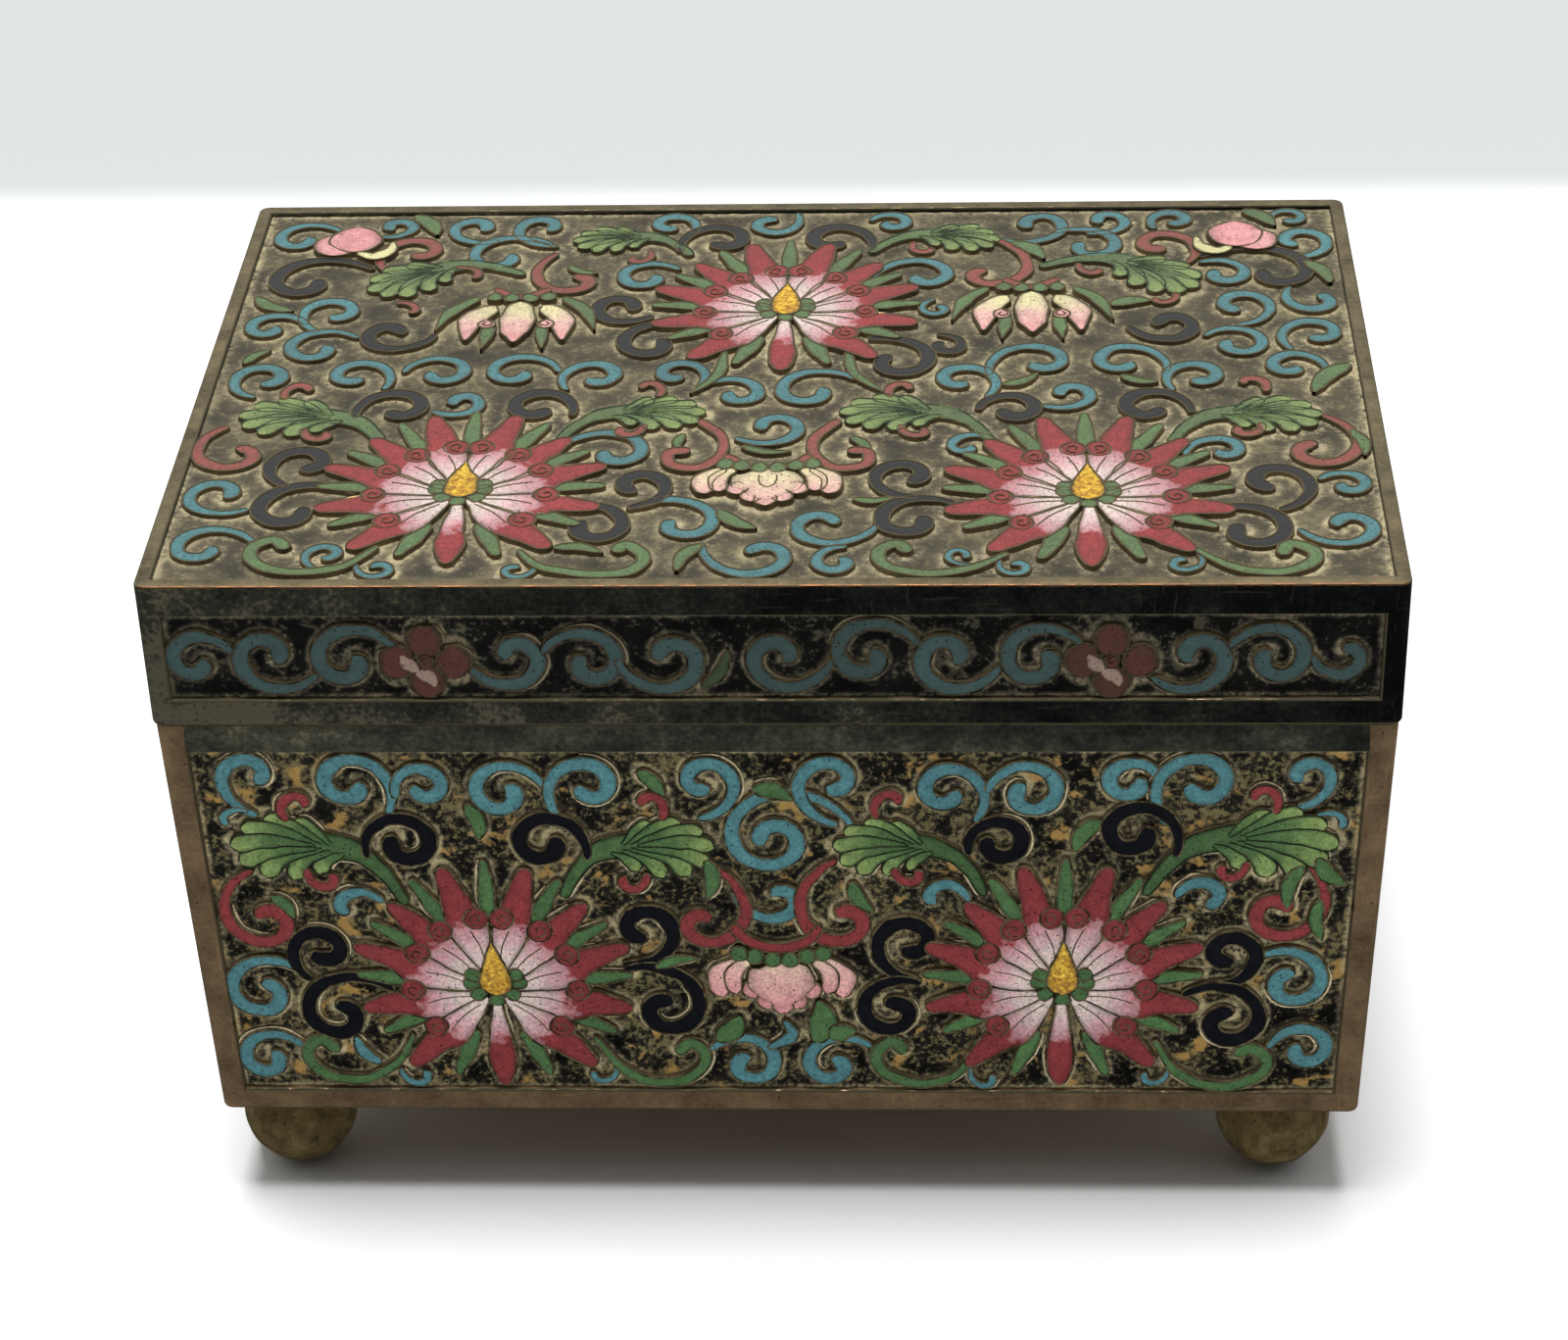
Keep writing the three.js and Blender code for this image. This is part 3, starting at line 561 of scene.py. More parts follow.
    def sprig(self, *row: float) -> None:
        """Adds a small leaf, pointed at its tip.

        Args:
            *row: foot u, foot v, tip u, tip v and width.
        """
        u, v, tip_u, tip_v, width = row
        bow = 0.12 * math.hypot(tip_u - u, tip_v - v) * (1 if self.rng.random() < 0.5 else -1)
        angle = math.atan2(tip_v - v, tip_u - u) + math.pi / 2
        middle = ((u + tip_u) / 2 + bow * math.cos(angle), (v + tip_v) / 2 + bow * math.sin(angle))
        path = smooth_path([(u, v), middle, (tip_u, tip_v)])
        widths = ((0, width * 0.34), (0.45, width * 0.5), (0.8, width * 0.33), (1, width * 0.08))
        self.add(Enamel.GREEN, path, widths, caps=(True, False), lift=-0.02, stations=SHORT)

    def tendril(self, places: Sequence[Point]) -> None:
        """Adds a green tendril through some places, thicker at its curled end."""
        path = smooth_path(places, 90)
        self.add(Enamel.GREEN, path, ((0, 0.45), (0.3, 0.85), (0.7, 0.95), (1, 1.05)), lift=0.01)

    def spot(self, enamel: Enamel, u: float, v: float, radius: float, lift: float, grade: float) -> None:
        """Adds a round cell."""
        path = smooth_path([(u, v - radius), (u, v + radius)])
        self.add(enamel, path, ((0, radius), (1, radius)), lift=lift, grade=(grade, grade), stations=SHORT)

    def spiral_wire(self, u: float, v: float, radius: float, start: float, hand: int) -> None:
        """Adds a wire that winds in from the edge of a round cell.

        Args:
            u, v: the cell's middle.
            radius: where the wire starts.
            start: the angle that it starts at, in degrees.
            hand: 1 to wind anticlockwise, -1 clockwise.
        """
        t = np.linspace(0, 1, 40)
        angle = math.radians(start) + hand * t * 2 * math.pi
        size = radius * (1 - 0.7 * t)
        line = np.column_stack([u + size * np.cos(angle), v + size * np.sin(angle)])
        self.wire(line, lift=0.1, half=0.09)

    def acanthus(self, *row: float) -> None:
        """Adds a curling leaf whose lobes open from its root to its head.

        Args:
            *row: root u, root v, head u and head v.
        """
        u, v, head_u, head_v = row
        flip = 1 if head_u > u else -1
        run = complex(head_u - u, head_v - v)
        turn = run / complex(LEAF_HEAD[0] * flip, LEAF_HEAD[1])

        def put(points: Sequence[Point]) -> list[Point]:
            """Points of the leaf's own pattern at their place on the panel."""
            moved = (complex(x * flip, y) * turn for x, y in points)
            return [(u + z.real, v + z.imag) for z in moved]

        size = abs(turn)
        rib = smooth_path(put(LEAF_RIB))
        widths = ((0, 0.75), (0.4, 1.15 * size), (0.62, 1.7 * size), (0.85, 2.3 * size), (1, 1.9 * size))
        self.add(Enamel.LEAF, rib, widths, lift=-0.05, grade=(0, 0.3))
        for start, bow, tip, half in LEAF_FINGERS:
            path = smooth_path(put([start, bow, tip]))
            widths = scaled(FINGER_WIDTHS, half * size)
            self.add(Enamel.LEAF, path, widths, caps=(False, True), lift=-0.02, grade=(0.05, 1))

    def lotus(self, u: float, v: float, size: float = 1.0) -> None:
        """Adds an open lotus: green sepals, red-tipped petals, a collar and a gold seed pod.

        Args:
            u, v: the flower's centre.
            size: its size against the usual flower.
        """
        tips = [(angle, reach, index % 2 == 0) for index, (angle, reach) in enumerate(LOTUS_TIPS)]
        tips += [(180 - angle, reach, sepal) for angle, reach, sepal in tips if abs(angle) != 90]
        tips.sort(key=lambda tip: tip[1])
        for angle, reach in [tip[:2] for tip in tips if tip[2]]:
            self.sepal(u, v, angle, reach * size)
        for angle, reach in [tip[:2] for tip in tips if not tip[2]]:
            self.petal(u, v, angle, reach, size)
        for degrees in COLLAR_ANGLES:
            along = heading(degrees)
            at = (u + size * 3.5 * along[0], v + size * (0.35 + 3.3 * along[1]))
            path = smooth_path([(u + 0.4 * (at[0] - u), v + 0.4 * (at[1] - v)), at])
            path = np.vstack([path, path[-1] + (path[-1] - path[0]) * 0.32])
            self.add(Enamel.GREEN, path, ((0, 0.7 * size), (1, 1.5 * size)), lift=0.07, stations=SHORT)
        pod = smooth_path([(u, v - 1.8 * size), (u, v + 7.2 * size)])
        widths = ((0, 1.7), (0.12, 2.15), (0.3, 2.3), (0.55, 1.8), (0.8, 0.85), (1, 0.06))
        self.add(Enamel.SEED, pod, scaled(widths, size), (True, False), 0.12, (0.3, 0.7), stations=MEDIUM)

    def sepal(self, u: float, v: float, angle: float, reach: float) -> None:
        """Adds one green sepal that shows between a lotus's petals.

        Args:
            u, v: the flower's centre.
            angle: the sepal's direction, in degrees from the flower's right.
            reach: how far its tip is from the centre.
        """
        path = smooth_path([np.array([u, v]) + heading(angle) * reach * share for share in (0.5, 1)])
        self.add(Enamel.GREEN, path, ((0, 1.1), (0.5, 1.25), (1, 0.62)), lift=-0.01, stations=SHORT)

    def petal(self, u: float, v: float, angle: float, reach: float, size: float) -> None:
        """Adds one petal of a lotus, white at the heart and red at the tip, and its curled lobe.

        Args:
            u, v: the flower's centre.
            angle: the petal's direction, in degrees from the flower's right.
            reach: how far its tip is from the centre on the usual flower.
            size: the flower's size against the usual one.
        """
        way = heading(angle)
        side = np.array([-way[1], way[0]])
        centre = np.array([u, v])
        sag = 1.3 * abs(way[0])
        places = [centre + size * (way * 1.6 - [0, sag]), centre + size * (way * 8.5 - [0, sag]),
                  centre + size * (way * 13 - [0, 0.2 * sag]), centre + size * way * reach]
        hanging = angle == -90
        widths = scaled(PETAL_HANGING if hanging else PETAL_WIDTHS, size)
        self.add(Enamel.LOTUS, smooth_path(places, 80), widths, lift=0.02, grade=(0, 1), stations=MEDIUM)
        if hanging:
            return
        upper = 1 if way[0] > 0 else -1
        vein = [centre + size * (way * along + side * offset * (0.5 * upper) - [0, sag])
                for along, offset in ((3.2, 0), (6.4, 1), (9.4, 0.4))]
        self.wire(smooth_path(vein), lift=0.02, half=0.09)
        curl = centre + size * (way * 10.7 + side * upper * 1.5)
        self.spot(Enamel.LOTUS, curl[0], curl[1], 1.75 * size, 0.06, 1.0)
        self.spiral_wire(curl[0], curl[1], 1.1 * size, angle + 180, upper)

    def polish(self, share: float) -> None:
        """Adds old polish, caught here and there as a low ridge at the foot of the cells.

        Args:
            share: how many of the cells have some.
        """
        for stroke in [stroke for stroke in self.strokes if stroke.glazed]:
            first, run, side, chance = self.rng.random(4)
            if chance > share:
                continue
            count = len(stroke.path)
            part = slice(int(0.55 * first * count), int((0.55 * first + 0.25 + 0.35 * run) * count))
            way = np.gradient(stroke.path, axis=0)
            left = np.column_stack([-way[:, 1], way[:, 0]]) / np.maximum(np.hypot(*way.T), 1e-9)[:, None]
            line = stroke.path + left * (stroke.half + 0.14)[:, None] * (1 if side < 0.6 else -1)
            widths = ((0, 0.05), (0.25, 0.2), (0.5, 0.12), (0.75, 0.24), (1, 0.05))
            lift = -0.25 - LAYER * len(self.strokes)
            stations = SHORT if count < LONG else MEDIUM
            self.add(Enamel.POLISH, line[part], widths, lift=lift, rimless=True, stations=stations)

    def flower(self, u: float, v: float, radius: float = 2.35) -> None:
        """Adds a flower of four round petals, two of them faded, with a small eye.

        Args:
            u, v: its middle.
            radius: each petal's radius.
        """
        for degrees in (0, 90, 180, 270):
            way = heading(degrees)
            reach = 2.9 if degrees in (90, 270) else 3.4
            self.spot(Enamel.RED, u + reach * way[0], v + reach * way[1], radius, 0.02, 0.0)
        for places, widths in (
            (((-2.9, 0.9), (-2, -0.4), (-1, -1.3)), ((0, 0.2), (0.5, 1), (1, 0.7))),
            (((-1.2, -1.6), (0.4, -2.2), (1, -3.6)), ((0, 0.5), (0.4, 1), (0.8, 0.6), (1, 0.1))),
        ):
            worn = smooth_path([(u + x, v + y) for x, y in places])
            self.add(Enamel.BLUSH, worn, widths, lift=0.02, grade=(0.4, 0.6), rimless=True)
        self.spot(Enamel.RED, u, v, 1.1, 0.04, 0.0)
        self.spiral_wire(u, v, 0.7, 0, 1)

    def bud(self, *row: float) -> None:
        """Adds a half-open bud seen from the side, hanging below its cup.

        Args:
            *row: u and v of the cup's middle, and the bud's width and height.
        """
        u, v, width, height = row

        def line(side: int, *places: Point) -> np.ndarray:
            """A line to one side, through places in shares of the bud's size."""
            return smooth_path([(u + side * width * a, v + height * b) for a, b in places])

        for side in (-1, 1):
            leaf = line(side, (0.3, -0.02), (0.47, -0.3), (0.56, -0.72))
            self.add(Enamel.GREEN, leaf, ((0, 0.7), (0.5, 1.15), (1, 0.1)), caps=(True, False))
            under = line(side, (0.18, -0.6), (0.21, -1.12))
            self.add(Enamel.GREEN, under, ((0, 0.9), (0.5, 1), (1, 0.1)), caps=(True, False))
            outer = line(side, (0.17, -0.2), (0.31, -0.5), (0.34, -0.95))
            self.add(Enamel.BLUSH, outer, ((0, 1.3), (0.5, 2), (1, 0.35)), lift=0.02, grade=(0.9, 0.1))
            curl = (u + side * width * 0.21, v - height * 0.6)
            self.spot(Enamel.BLUSH, *curl, 1.25, 0.06, 0.25)
            self.spiral_wire(*curl, 1.0, 90, side)
        middle = [(u, v - height * 0.12), (u, v - height * 1.0)]
        self.add(Enamel.BLUSH, smooth_path(middle), ((0, 1.5), (0.4, 2.5), (0.75, 1.9), (1, 0.3)),
                 lift=0.05, grade=(1, 0))
        cup = [(u - width * 0.2, v + 2.2), (u, v - 0.2), (u + width * 0.2, v + 2.2)]
        self.add(Enamel.RED, smooth_path(cup), ((0, 0.7), (0.5, 0.8), (1, 0.7)), lift=0.03)
        for share in (-0.19, -0.065, 0.065, 0.19):
            self.spot(Enamel.GREEN, u + width * share, v - 0.6 + 2.2 * abs(share), 1.15, 0.08, 0)

    def hanging_flower(self, u: float, v: float, width: float, grade: Point) -> None:
        """Adds the flower that hangs from the middle of the panel.

        Args:
            u, v: the middle of its cup.
            width: its width.
            grade: the petals' run of colours from the cup down.
        """
        for side in (-1, 1):
            for reach, drop, half in ((0.43, 6.4, 1.5), (0.33, 5.8, 1.35)):
                out = side * width * reach
                petal = [(u + out * 0.7, v - 0.2), (u + out * 1.05, v - drop * 0.45), (u + out, v - drop)]
                widths = ((0, half * 0.6), (0.5, half), (1, half * 0.85))
                lift = 0.01 + 0.1 * (0.43 - reach)
                self.add(Enamel.BLUSH, smooth_path(petal), widths, lift=lift, grade=grade)
        for share, drop in ((-0.21, 5.1), (0.21, 5.1), (-0.11, 6.9), (0.11, 6.9), (0, 7.7)):
            self.spot(Enamel.BLUSH, u + width * share, v - drop, 1.5, 0.03, grade[1])
        body = [(u, v - 0.4), (u, v - 7.9)]
        widths = ((0, 3.6), (0.3, 4.6), (0.55, 4.3), (0.8, 2.7), (1, 1.2))
        self.add(Enamel.BLUSH, smooth_path(body), widths, lift=0.06, grade=grade, rimless=True,
                 stations=MEDIUM)
        heart = [(u - 1.1, v - 2), (u - 1, v - 4), (u, v - 5), (u + 1, v - 4), (u + 1.1, v - 2)]
        self.wire(smooth_path(heart), lift=0.05, half=0.1)
        for side in (-1, 1):
            for share in (1.1, 3.4, 5.4):
                self.spot(Enamel.GREEN, u + side * share, v - 0.4 + 0.22 * share, 1.25, 0.09, 0)


# How a scroll widens from its tail to its eye, in shares of the band.
SCROLL_WIDTHS = ((0, 0.24), (0.15, 0.34), (0.5, 0.46), (0.8, 0.48), (1, 0.56))

# The curling leaf's own pattern: its rib, its head, and its lobes as (start, bow, tip, half width).
LEAF_RIB = ((0, 0), (2.6, 4.6), (6.4, 7.7), (13, 8.2))
LEAF_HEAD = (15, 9)
LEAF_FINGERS = (
    ((7, 7.2), (9.4, 5.8), (10.4, 4), 1.15),
    ((8.6, 8.4), (10.6, 10.4), (12.8, 11.8), 1.2),
    ((8.6, 7.4), (12, 5.8), (13.4, 2.9), 1.35),
    ((9.6, 8.6), (13.2, 10.8), (16.4, 11.9), 1.35),
    ((9.6, 7.6), (14.6, 6.2), (16.9, 3.1), 1.4),
    ((10.4, 8.5), (15, 10), (19.2, 10.2), 1.4),
    ((10.4, 7.8), (16, 7), (19.6, 4.9), 1.4),
    ((10.8, 8.2), (16.2, 8.6), (20.6, 7.6), 1.4),
)

# How a lobe of the leaf widens, in shares of its half width.
FINGER_WIDTHS = ((0, 0.25), (0.5, 0.85), (0.85, 1), (1, 1))

# The lotus: (degrees from the flower's right, reach), sepals and petals in turn, one side.
LOTUS_TIPS = (
    (90, 20), (73.7, 19.6), (60.8, 19.5), (45.9, 18.2), (33.2, 18.3), (19.2, 18.8),
    (4.8, 18.1), (-12.7, 18.2), (-27.3, 17.4), (-47.9, 18.3), (-67.8, 16.4), (-90, 17),
)
COLLAR_ANGLES = (0, 180, -42, -138, -90, 26, 154)
PETAL_WIDTHS = ((0, 0.5), (0.18, 1.5), (0.36, 2.5), (0.5, 2.8), (0.6, 2.35), (0.8, 1.75), (1, 1.0))
PETAL_HANGING = ((0, 0.5), (0.4, 1.4), (0.65, 2.05), (0.85, 1.7), (1, 0.7))


# ---- tools for modelling by hand ----


class Part(Enum):
    """What is picked in edit mode."""

    FACES = "FACE"
    EDGES = "EDGE"


def clear_selection() -> None:
    """Leaves nothing selected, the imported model's nodes included."""
    bpy.ops.object.select_all(action="DESELECT")
    bpy.context.view_layer.objects.active = None


def take_up(piece: Object) -> None:
    """Selects one piece alone and makes it active.

    Args:
        piece: the object.
    """
    clear_selection()
    piece.select_set(True)
    bpy.context.view_layer.objects.active = piece


def pick(piece: Object, kind: Part, wanted: Callable[..., bool]) -> None:
    """Selects faces or edges in edit mode, and nothing else.

    Args:
        piece: the object that is being edited.
        kind: what is selected.
        wanted: says whether a face or an edge is selected.
    """
    bpy.ops.mesh.select_mode(type=kind.value)
    mesh = bmesh.from_edit_mesh(piece.data)
    parts = mesh.faces if kind is Part.FACES else mesh.edges
    for part in parts:
        part.select_set(False)
    for part in [part for part in parts if wanted(part)]:
        part.select_set(True)
    bmesh.update_edit_mesh(piece.data)


def add_grid(columns: int, rows: int) -> tuple[Object, np.ndarray, np.ndarray]:
    """Models a flat grid.

    Args:
        columns: how many squares it has across.
        rows: how many squares it has up.

    Returns:
        The grid, and the column and the row of each of its points.
    """
    clear_selection()
    bpy.ops.mesh.primitive_grid_add(x_subdivisions=columns, y_subdivisions=rows, size=2)
    piece = bpy.context.active_object
    places = np.array([corner.co[:2] for corner in piece.data.vertices])
    column, row = np.rint((places + 1) / 2 * (columns, rows)).astype(int).T
    return piece, column, row


def settle(piece: Object) -> None:
    """Puts an object at the origin, unturned and unscaled, with its place in its mesh."""
    take_up(piece)
    bpy.ops.object.transform_apply(location=True, rotation=True, scale=True)


def hand_over(piece: Object, slot: str) -> None:
    """Lets a piece move with the box."""
    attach(piece, BODY)


# ---- the box's sizes ----


@dataclass(frozen=True)
class BoxSizes:
    """The box's sizes in metres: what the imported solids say, and the frames round their panels."""

    lid_low: Vector
    lid_high: Vector
    body_low: Vector
    taper: float = 0.0015  # how far each side leans in at the base
    overhang: float = 0.0003  # the lid over the body, on each side
    wall: float = 0.0022
    base_plate: float = 0.002
    lid_plate: float = 0.0024
    corner: float = 0.0014  # radius of the upright corners
    sink: float = 0.0008  # how deep the panels are sunk
    top_frame: float = 0.0019
    body_frame: Triple = (0.0036, 0.0034, 0.0044)  # at the sides, below and above
    skirt_frame: Triple = (0.003, 0.0037, 0.0044)
    lip_rise: float = 0.003
    lip_wall: float = 0.0011
    lip_play: float = 0.00035

    @classmethod
    def measured(cls) -> BoxSizes:
        """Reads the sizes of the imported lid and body.

        Returns:
            The sizes.
        """
        lid_low, lid_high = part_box("lid")
        body_low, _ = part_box("box_body")
        return cls(Vector(lid_low), Vector(lid_high), Vector(body_low))

    @property
    def half_lid(self) -> Vector:
        """Half the lid's width and depth."""
        return Vector(((self.lid_high.x - self.lid_low.x) / 2, (self.lid_high.y - self.lid_low.y) / 2))

    @property
    def half_body(self) -> Vector:
        """Half the body's width and depth at its rim."""
        return self.half_lid - Vector((self.overhang, self.overhang))

    @property
    def seam(self) -> float:
        """Height of the joint between lid and body."""
        return self.lid_low.z

    @property
    def base(self) -> float:
        """Height of the underside of the base plate."""
        return self.body_low.z

    def leaned(self, points: np.ndarray) -> np.ndarray:
        """Leans points of an upright body in towards its base.

        Args:
            points: places in metres, one row each.

        Returns:
            The same places on the leaning body.
        """
        drop = 1 - np.minimum(1, (points[:, 2] - self.base) / (self.seam - self.base))
        moved = points.copy()
        for axis in (0, 1):
            moved[:, axis] *= 1 - self.taper / self.half_body[axis] * drop
        return moved


# ---- panels of enamel ----


@dataclass(frozen=True)
class Place:
    """Where a panel's drawing lies: its lower edge's middle on the ground, and its three ways."""

    origin: Triple
    across: Triple
    up: Triple
    out: Triple
    sizes: BoxSizes | None = None

    def on_box(self, flat: np.ndarray) -> np.ndarray:
        """Moves places of the drawing to the box.

        Args:
            flat: places in millimetres across, up and out, one row each.

        Returns:
            The same places in metres on the box.
        """
        ways = np.array([self.across, self.up, self.out])
        places = np.array(self.origin) + flat @ ways * MM
        return self.sizes.leaned(places) if self.sizes else places


class Blade:
    """A straight cell, modelled once as a grid; each cell is a bent copy of it."""

    def __init__(self, stations: int) -> None:
        """Models the grid, with the section's 11 points across.

        Args:
            stations: how many rows of points it has along.
        """
        rows = len(RIM) - 1
        piece, self.along, self.across = add_grid(stations - 1, rows)
        self.faces = np.array([list(face.vertices) for face in piece.data.polygons])
        band = self.across[self.faces].min(axis=1)
        self.slots = np.choose(np.minimum(band, rows - 1 - band), [2, 1, 1, 0, 0])
        bpy.data.objects.remove(piece)

    def bent(self, stroke: Stroke, section: CellSection) -> tuple[np.ndarray, np.ndarray, np.ndarray]:
        """A copy of the cell along a stroke.

        Args:
            stroke: the cell's line, widths and glass.
            section: the cell's section.

        Returns:
            Its points (across, up, out, in millimetres), and the grade and rim at each.
        """
        run = np.gradient(stroke.path, axis=0)
        way = run / np.maximum(np.hypot(run[:, 0], run[:, 1]), 1e-9)[:, None]
        left = np.column_stack([-way[:, 1], way[:, 0]])
        steps = np.concatenate([[0], np.cumsum(np.hypot(*np.diff(stroke.path, axis=0).T))])
        slope = np.gradient(stroke.half, steps + np.arange(len(steps)) * 1e-7)
        wire = 0.0 if stroke.rimless else section.wire if stroke.glazed else ALL_WIRE
        inner = np.clip(stroke.half - wire * np.sqrt(1 + slope**2), 0, None)
        offset = section.across(stroke.half, inner)
        height = section.heights(inner, stroke.lift + (0 if stroke.glazed else section.crown))
        flat = stroke.path[self.along] + left[self.along] * offset[self.along, self.across][:, None]
        out = height[self.along, self.across]
        return np.column_stack([flat, out]), stroke.grade[self.along], RIM[self.across]


ALL_WIRE = 9.0  # a wire so wide that it leaves a cell no glass
CAUGHT_BY_FRAME = 0.9  # how fast the polish caught by the frame thins out
CAUGHT_BY_WIRE = 0.8  # and that caught by a wire
CAUGHT_REACH = 3  # how far from a wire it is looked for


@dataclass
class Panel:
    """One sunk panel: its ground, and the enamelled cells that stand on it.

    Its edges are left, lower, right and upper, and its pitch is that of the ground's grid, in millimetres.
    """

    name: str
    place: Place
    edges: tuple[float, float, float, float]
    drawing: Drawing
    section: CellSection
    glass: dict[Enamel, Material]
    wire: Material
    leaf_wire: Material
    cell_wall: Material
    ground: Material
    slot: str
    pitch: float = 0.5

    def build(self, blades: dict[int, Blade]) -> None:
        """Models the ground and one piece for each glass, and dresses them.

        Args:
            blades: the straight cells, by their number of stations.
        """
        self.build_ground()
        for enamel in Enamel:
            strokes = [stroke for stroke in self.drawing.strokes if stroke.enamel is enamel]
            if strokes:
                self.build_cells(enamel, strokes, blades)

    def build_cells(self, enamel: Enamel, strokes: list[Stroke], blades: dict[int, Blade]) -> None:
        """Models every cell of one glass as one piece.

        Args:
            enamel: the glass.
            strokes: the cells that it fills.
            blades: the straight cells, by their number of stations.
        """
        places, faces, slots, grades, rims, tones = [], [], [], [], [], []
        count = 0
        for stroke in strokes:
            blade = blades[len(stroke.half)]
            points, grade, rim = blade.bent(stroke, self.section)
            places.append(points)
            faces.append(blade.faces + count)
            slots.append(blade.slots if stroke.glazed else np.minimum(blade.slots + 1, 1))
            grades.append(grade)
            rims.append(rim)
            tones.append(np.full(len(points), stroke.tone))
            count += len(points)
        mesh = bpy.data.meshes.new(f"{self.name}_{enamel.value}")
        mesh.from_pydata(self.place.on_box(np.vstack(places)).tolist(), [], np.vstack(faces).tolist())
        for name, values in (("grade", grades), ("rim", rims), ("tone", tones)):
            layer = mesh.attributes.new(name, "FLOAT", "POINT")
            layer.data.foreach_set("value", np.concatenate(values).astype(np.float32))
        wire = self.leaf_wire if enamel is Enamel.LEAF else self.wire
        for material in (self.glass[enamel], wire, self.cell_wall):
            mesh.materials.append(material)
        mesh.polygons.foreach_set("material_index", np.concatenate(slots).astype(np.int32))
        piece = bpy.data.objects.new(mesh.name, mesh)
        bpy.context.collection.objects.link(piece)
        take_up(piece)
        bpy.ops.object.mode_set(mode="EDIT")
        bpy.ops.mesh.select_all(action="SELECT")
        bpy.ops.mesh.remove_doubles(threshold=0.004 * MM)
        bpy.ops.mesh.dissolve_degenerate(threshold=0.003 * MM)
        bpy.ops.object.mode_set(mode="OBJECT")
        bpy.ops.object.shade_smooth_by_angle(angle=math.radians(40))
        hand_over(piece, "enamel")
        LOG.info("%s: %d cells, %d faces", piece.name, len(strokes), len(piece.data.polygons))

    def residue(self, across: np.ndarray, up: np.ndarray) -> np.ndarray:
        """How much old polish is caught at each place of the ground, from 0 to 1.

        Args:
            across: the grid's places across.
            up: the grid's places up.

        Returns:
            One value for each place, rows up and columns across.
        """
        left, bottom, right, top = self.edges
        side = np.minimum(across - left, right - across)[None, :]
        rim = np.minimum(side, np.minimum(up - bottom, top - up)[:, None])
        caught = np.exp(-np.maximum(rim, 0) / CAUGHT_BY_FRAME)
        step_u, step_v = across[1] - across[0], up[1] - up[0]
        for stroke in self.drawing.strokes:
            if not stroke.glazed or stroke.enamel is Enamel.POLISH:
                continue
            for (u, v), half in zip(stroke.path, stroke.half):
                reach = half + CAUGHT_REACH
                ends = ((u, left, step_u), (v, bottom, step_v))
                i, j = (
                    slice(max(0, int((at - reach - low) / step)), max(0, int((at + reach - low) / step) + 1))
                    for at, low, step in ends
                )
                gap = np.hypot(across[None, i] - u, up[j, None] - v) - half
                if gap.size:
                    caught[j, i] = np.maximum(caught[j, i], np.exp(-np.maximum(gap, 0) / CAUGHT_BY_WIRE))
        return caught

    def build_ground(self) -> None:
        """Models the panel's uneven ground as a fine grid over the pocket's floor."""
        left, bottom, right, top = self.edges
        columns = int((right - left) / self.pitch)
        rows = int((top - bottom) / self.pitch)
        piece, i, j = add_grid(columns, rows)
        piece.name = piece.data.name = f"{self.name}_ground"
        across = np.linspace(left, right, columns + 1)
        up = np.linspace(bottom, top, rows + 1)
        caught = self.residue(across, up)[j, i]
        flat = np.column_stack([across[i], up[j]])
        # The ground swells by hundredths of a millimetre, and more where polish lies on it.
        rough = np.random.default_rng(SEED).normal(0, 0.5, len(i))
        wave = np.sin(flat[:, 0] * 1.9 + 1.3 * np.sin(flat[:, 1] * 1.3)) * np.sin(flat[:, 1] * 2.3)
        out = 0.035 + 0.012 * wave + 0.014 * rough + 0.05 * caught * (0.6 + 0.4 * wave)
        places = self.place.on_box(np.column_stack([flat, np.maximum(out, 0.008)]))
        piece.data.vertices.foreach_set("co", places.ravel())
        layer = piece.data.attributes.new("residue", "FLOAT", "POINT")
        layer.data.foreach_set("value", caught.astype(np.float32))
        piece.data.materials.append(self.ground)
        piece.data.update()
        take_up(piece)
        bpy.ops.object.shade_smooth()
        settle(piece)
        hand_over(piece, self.slot)


# ---- metal shells ----


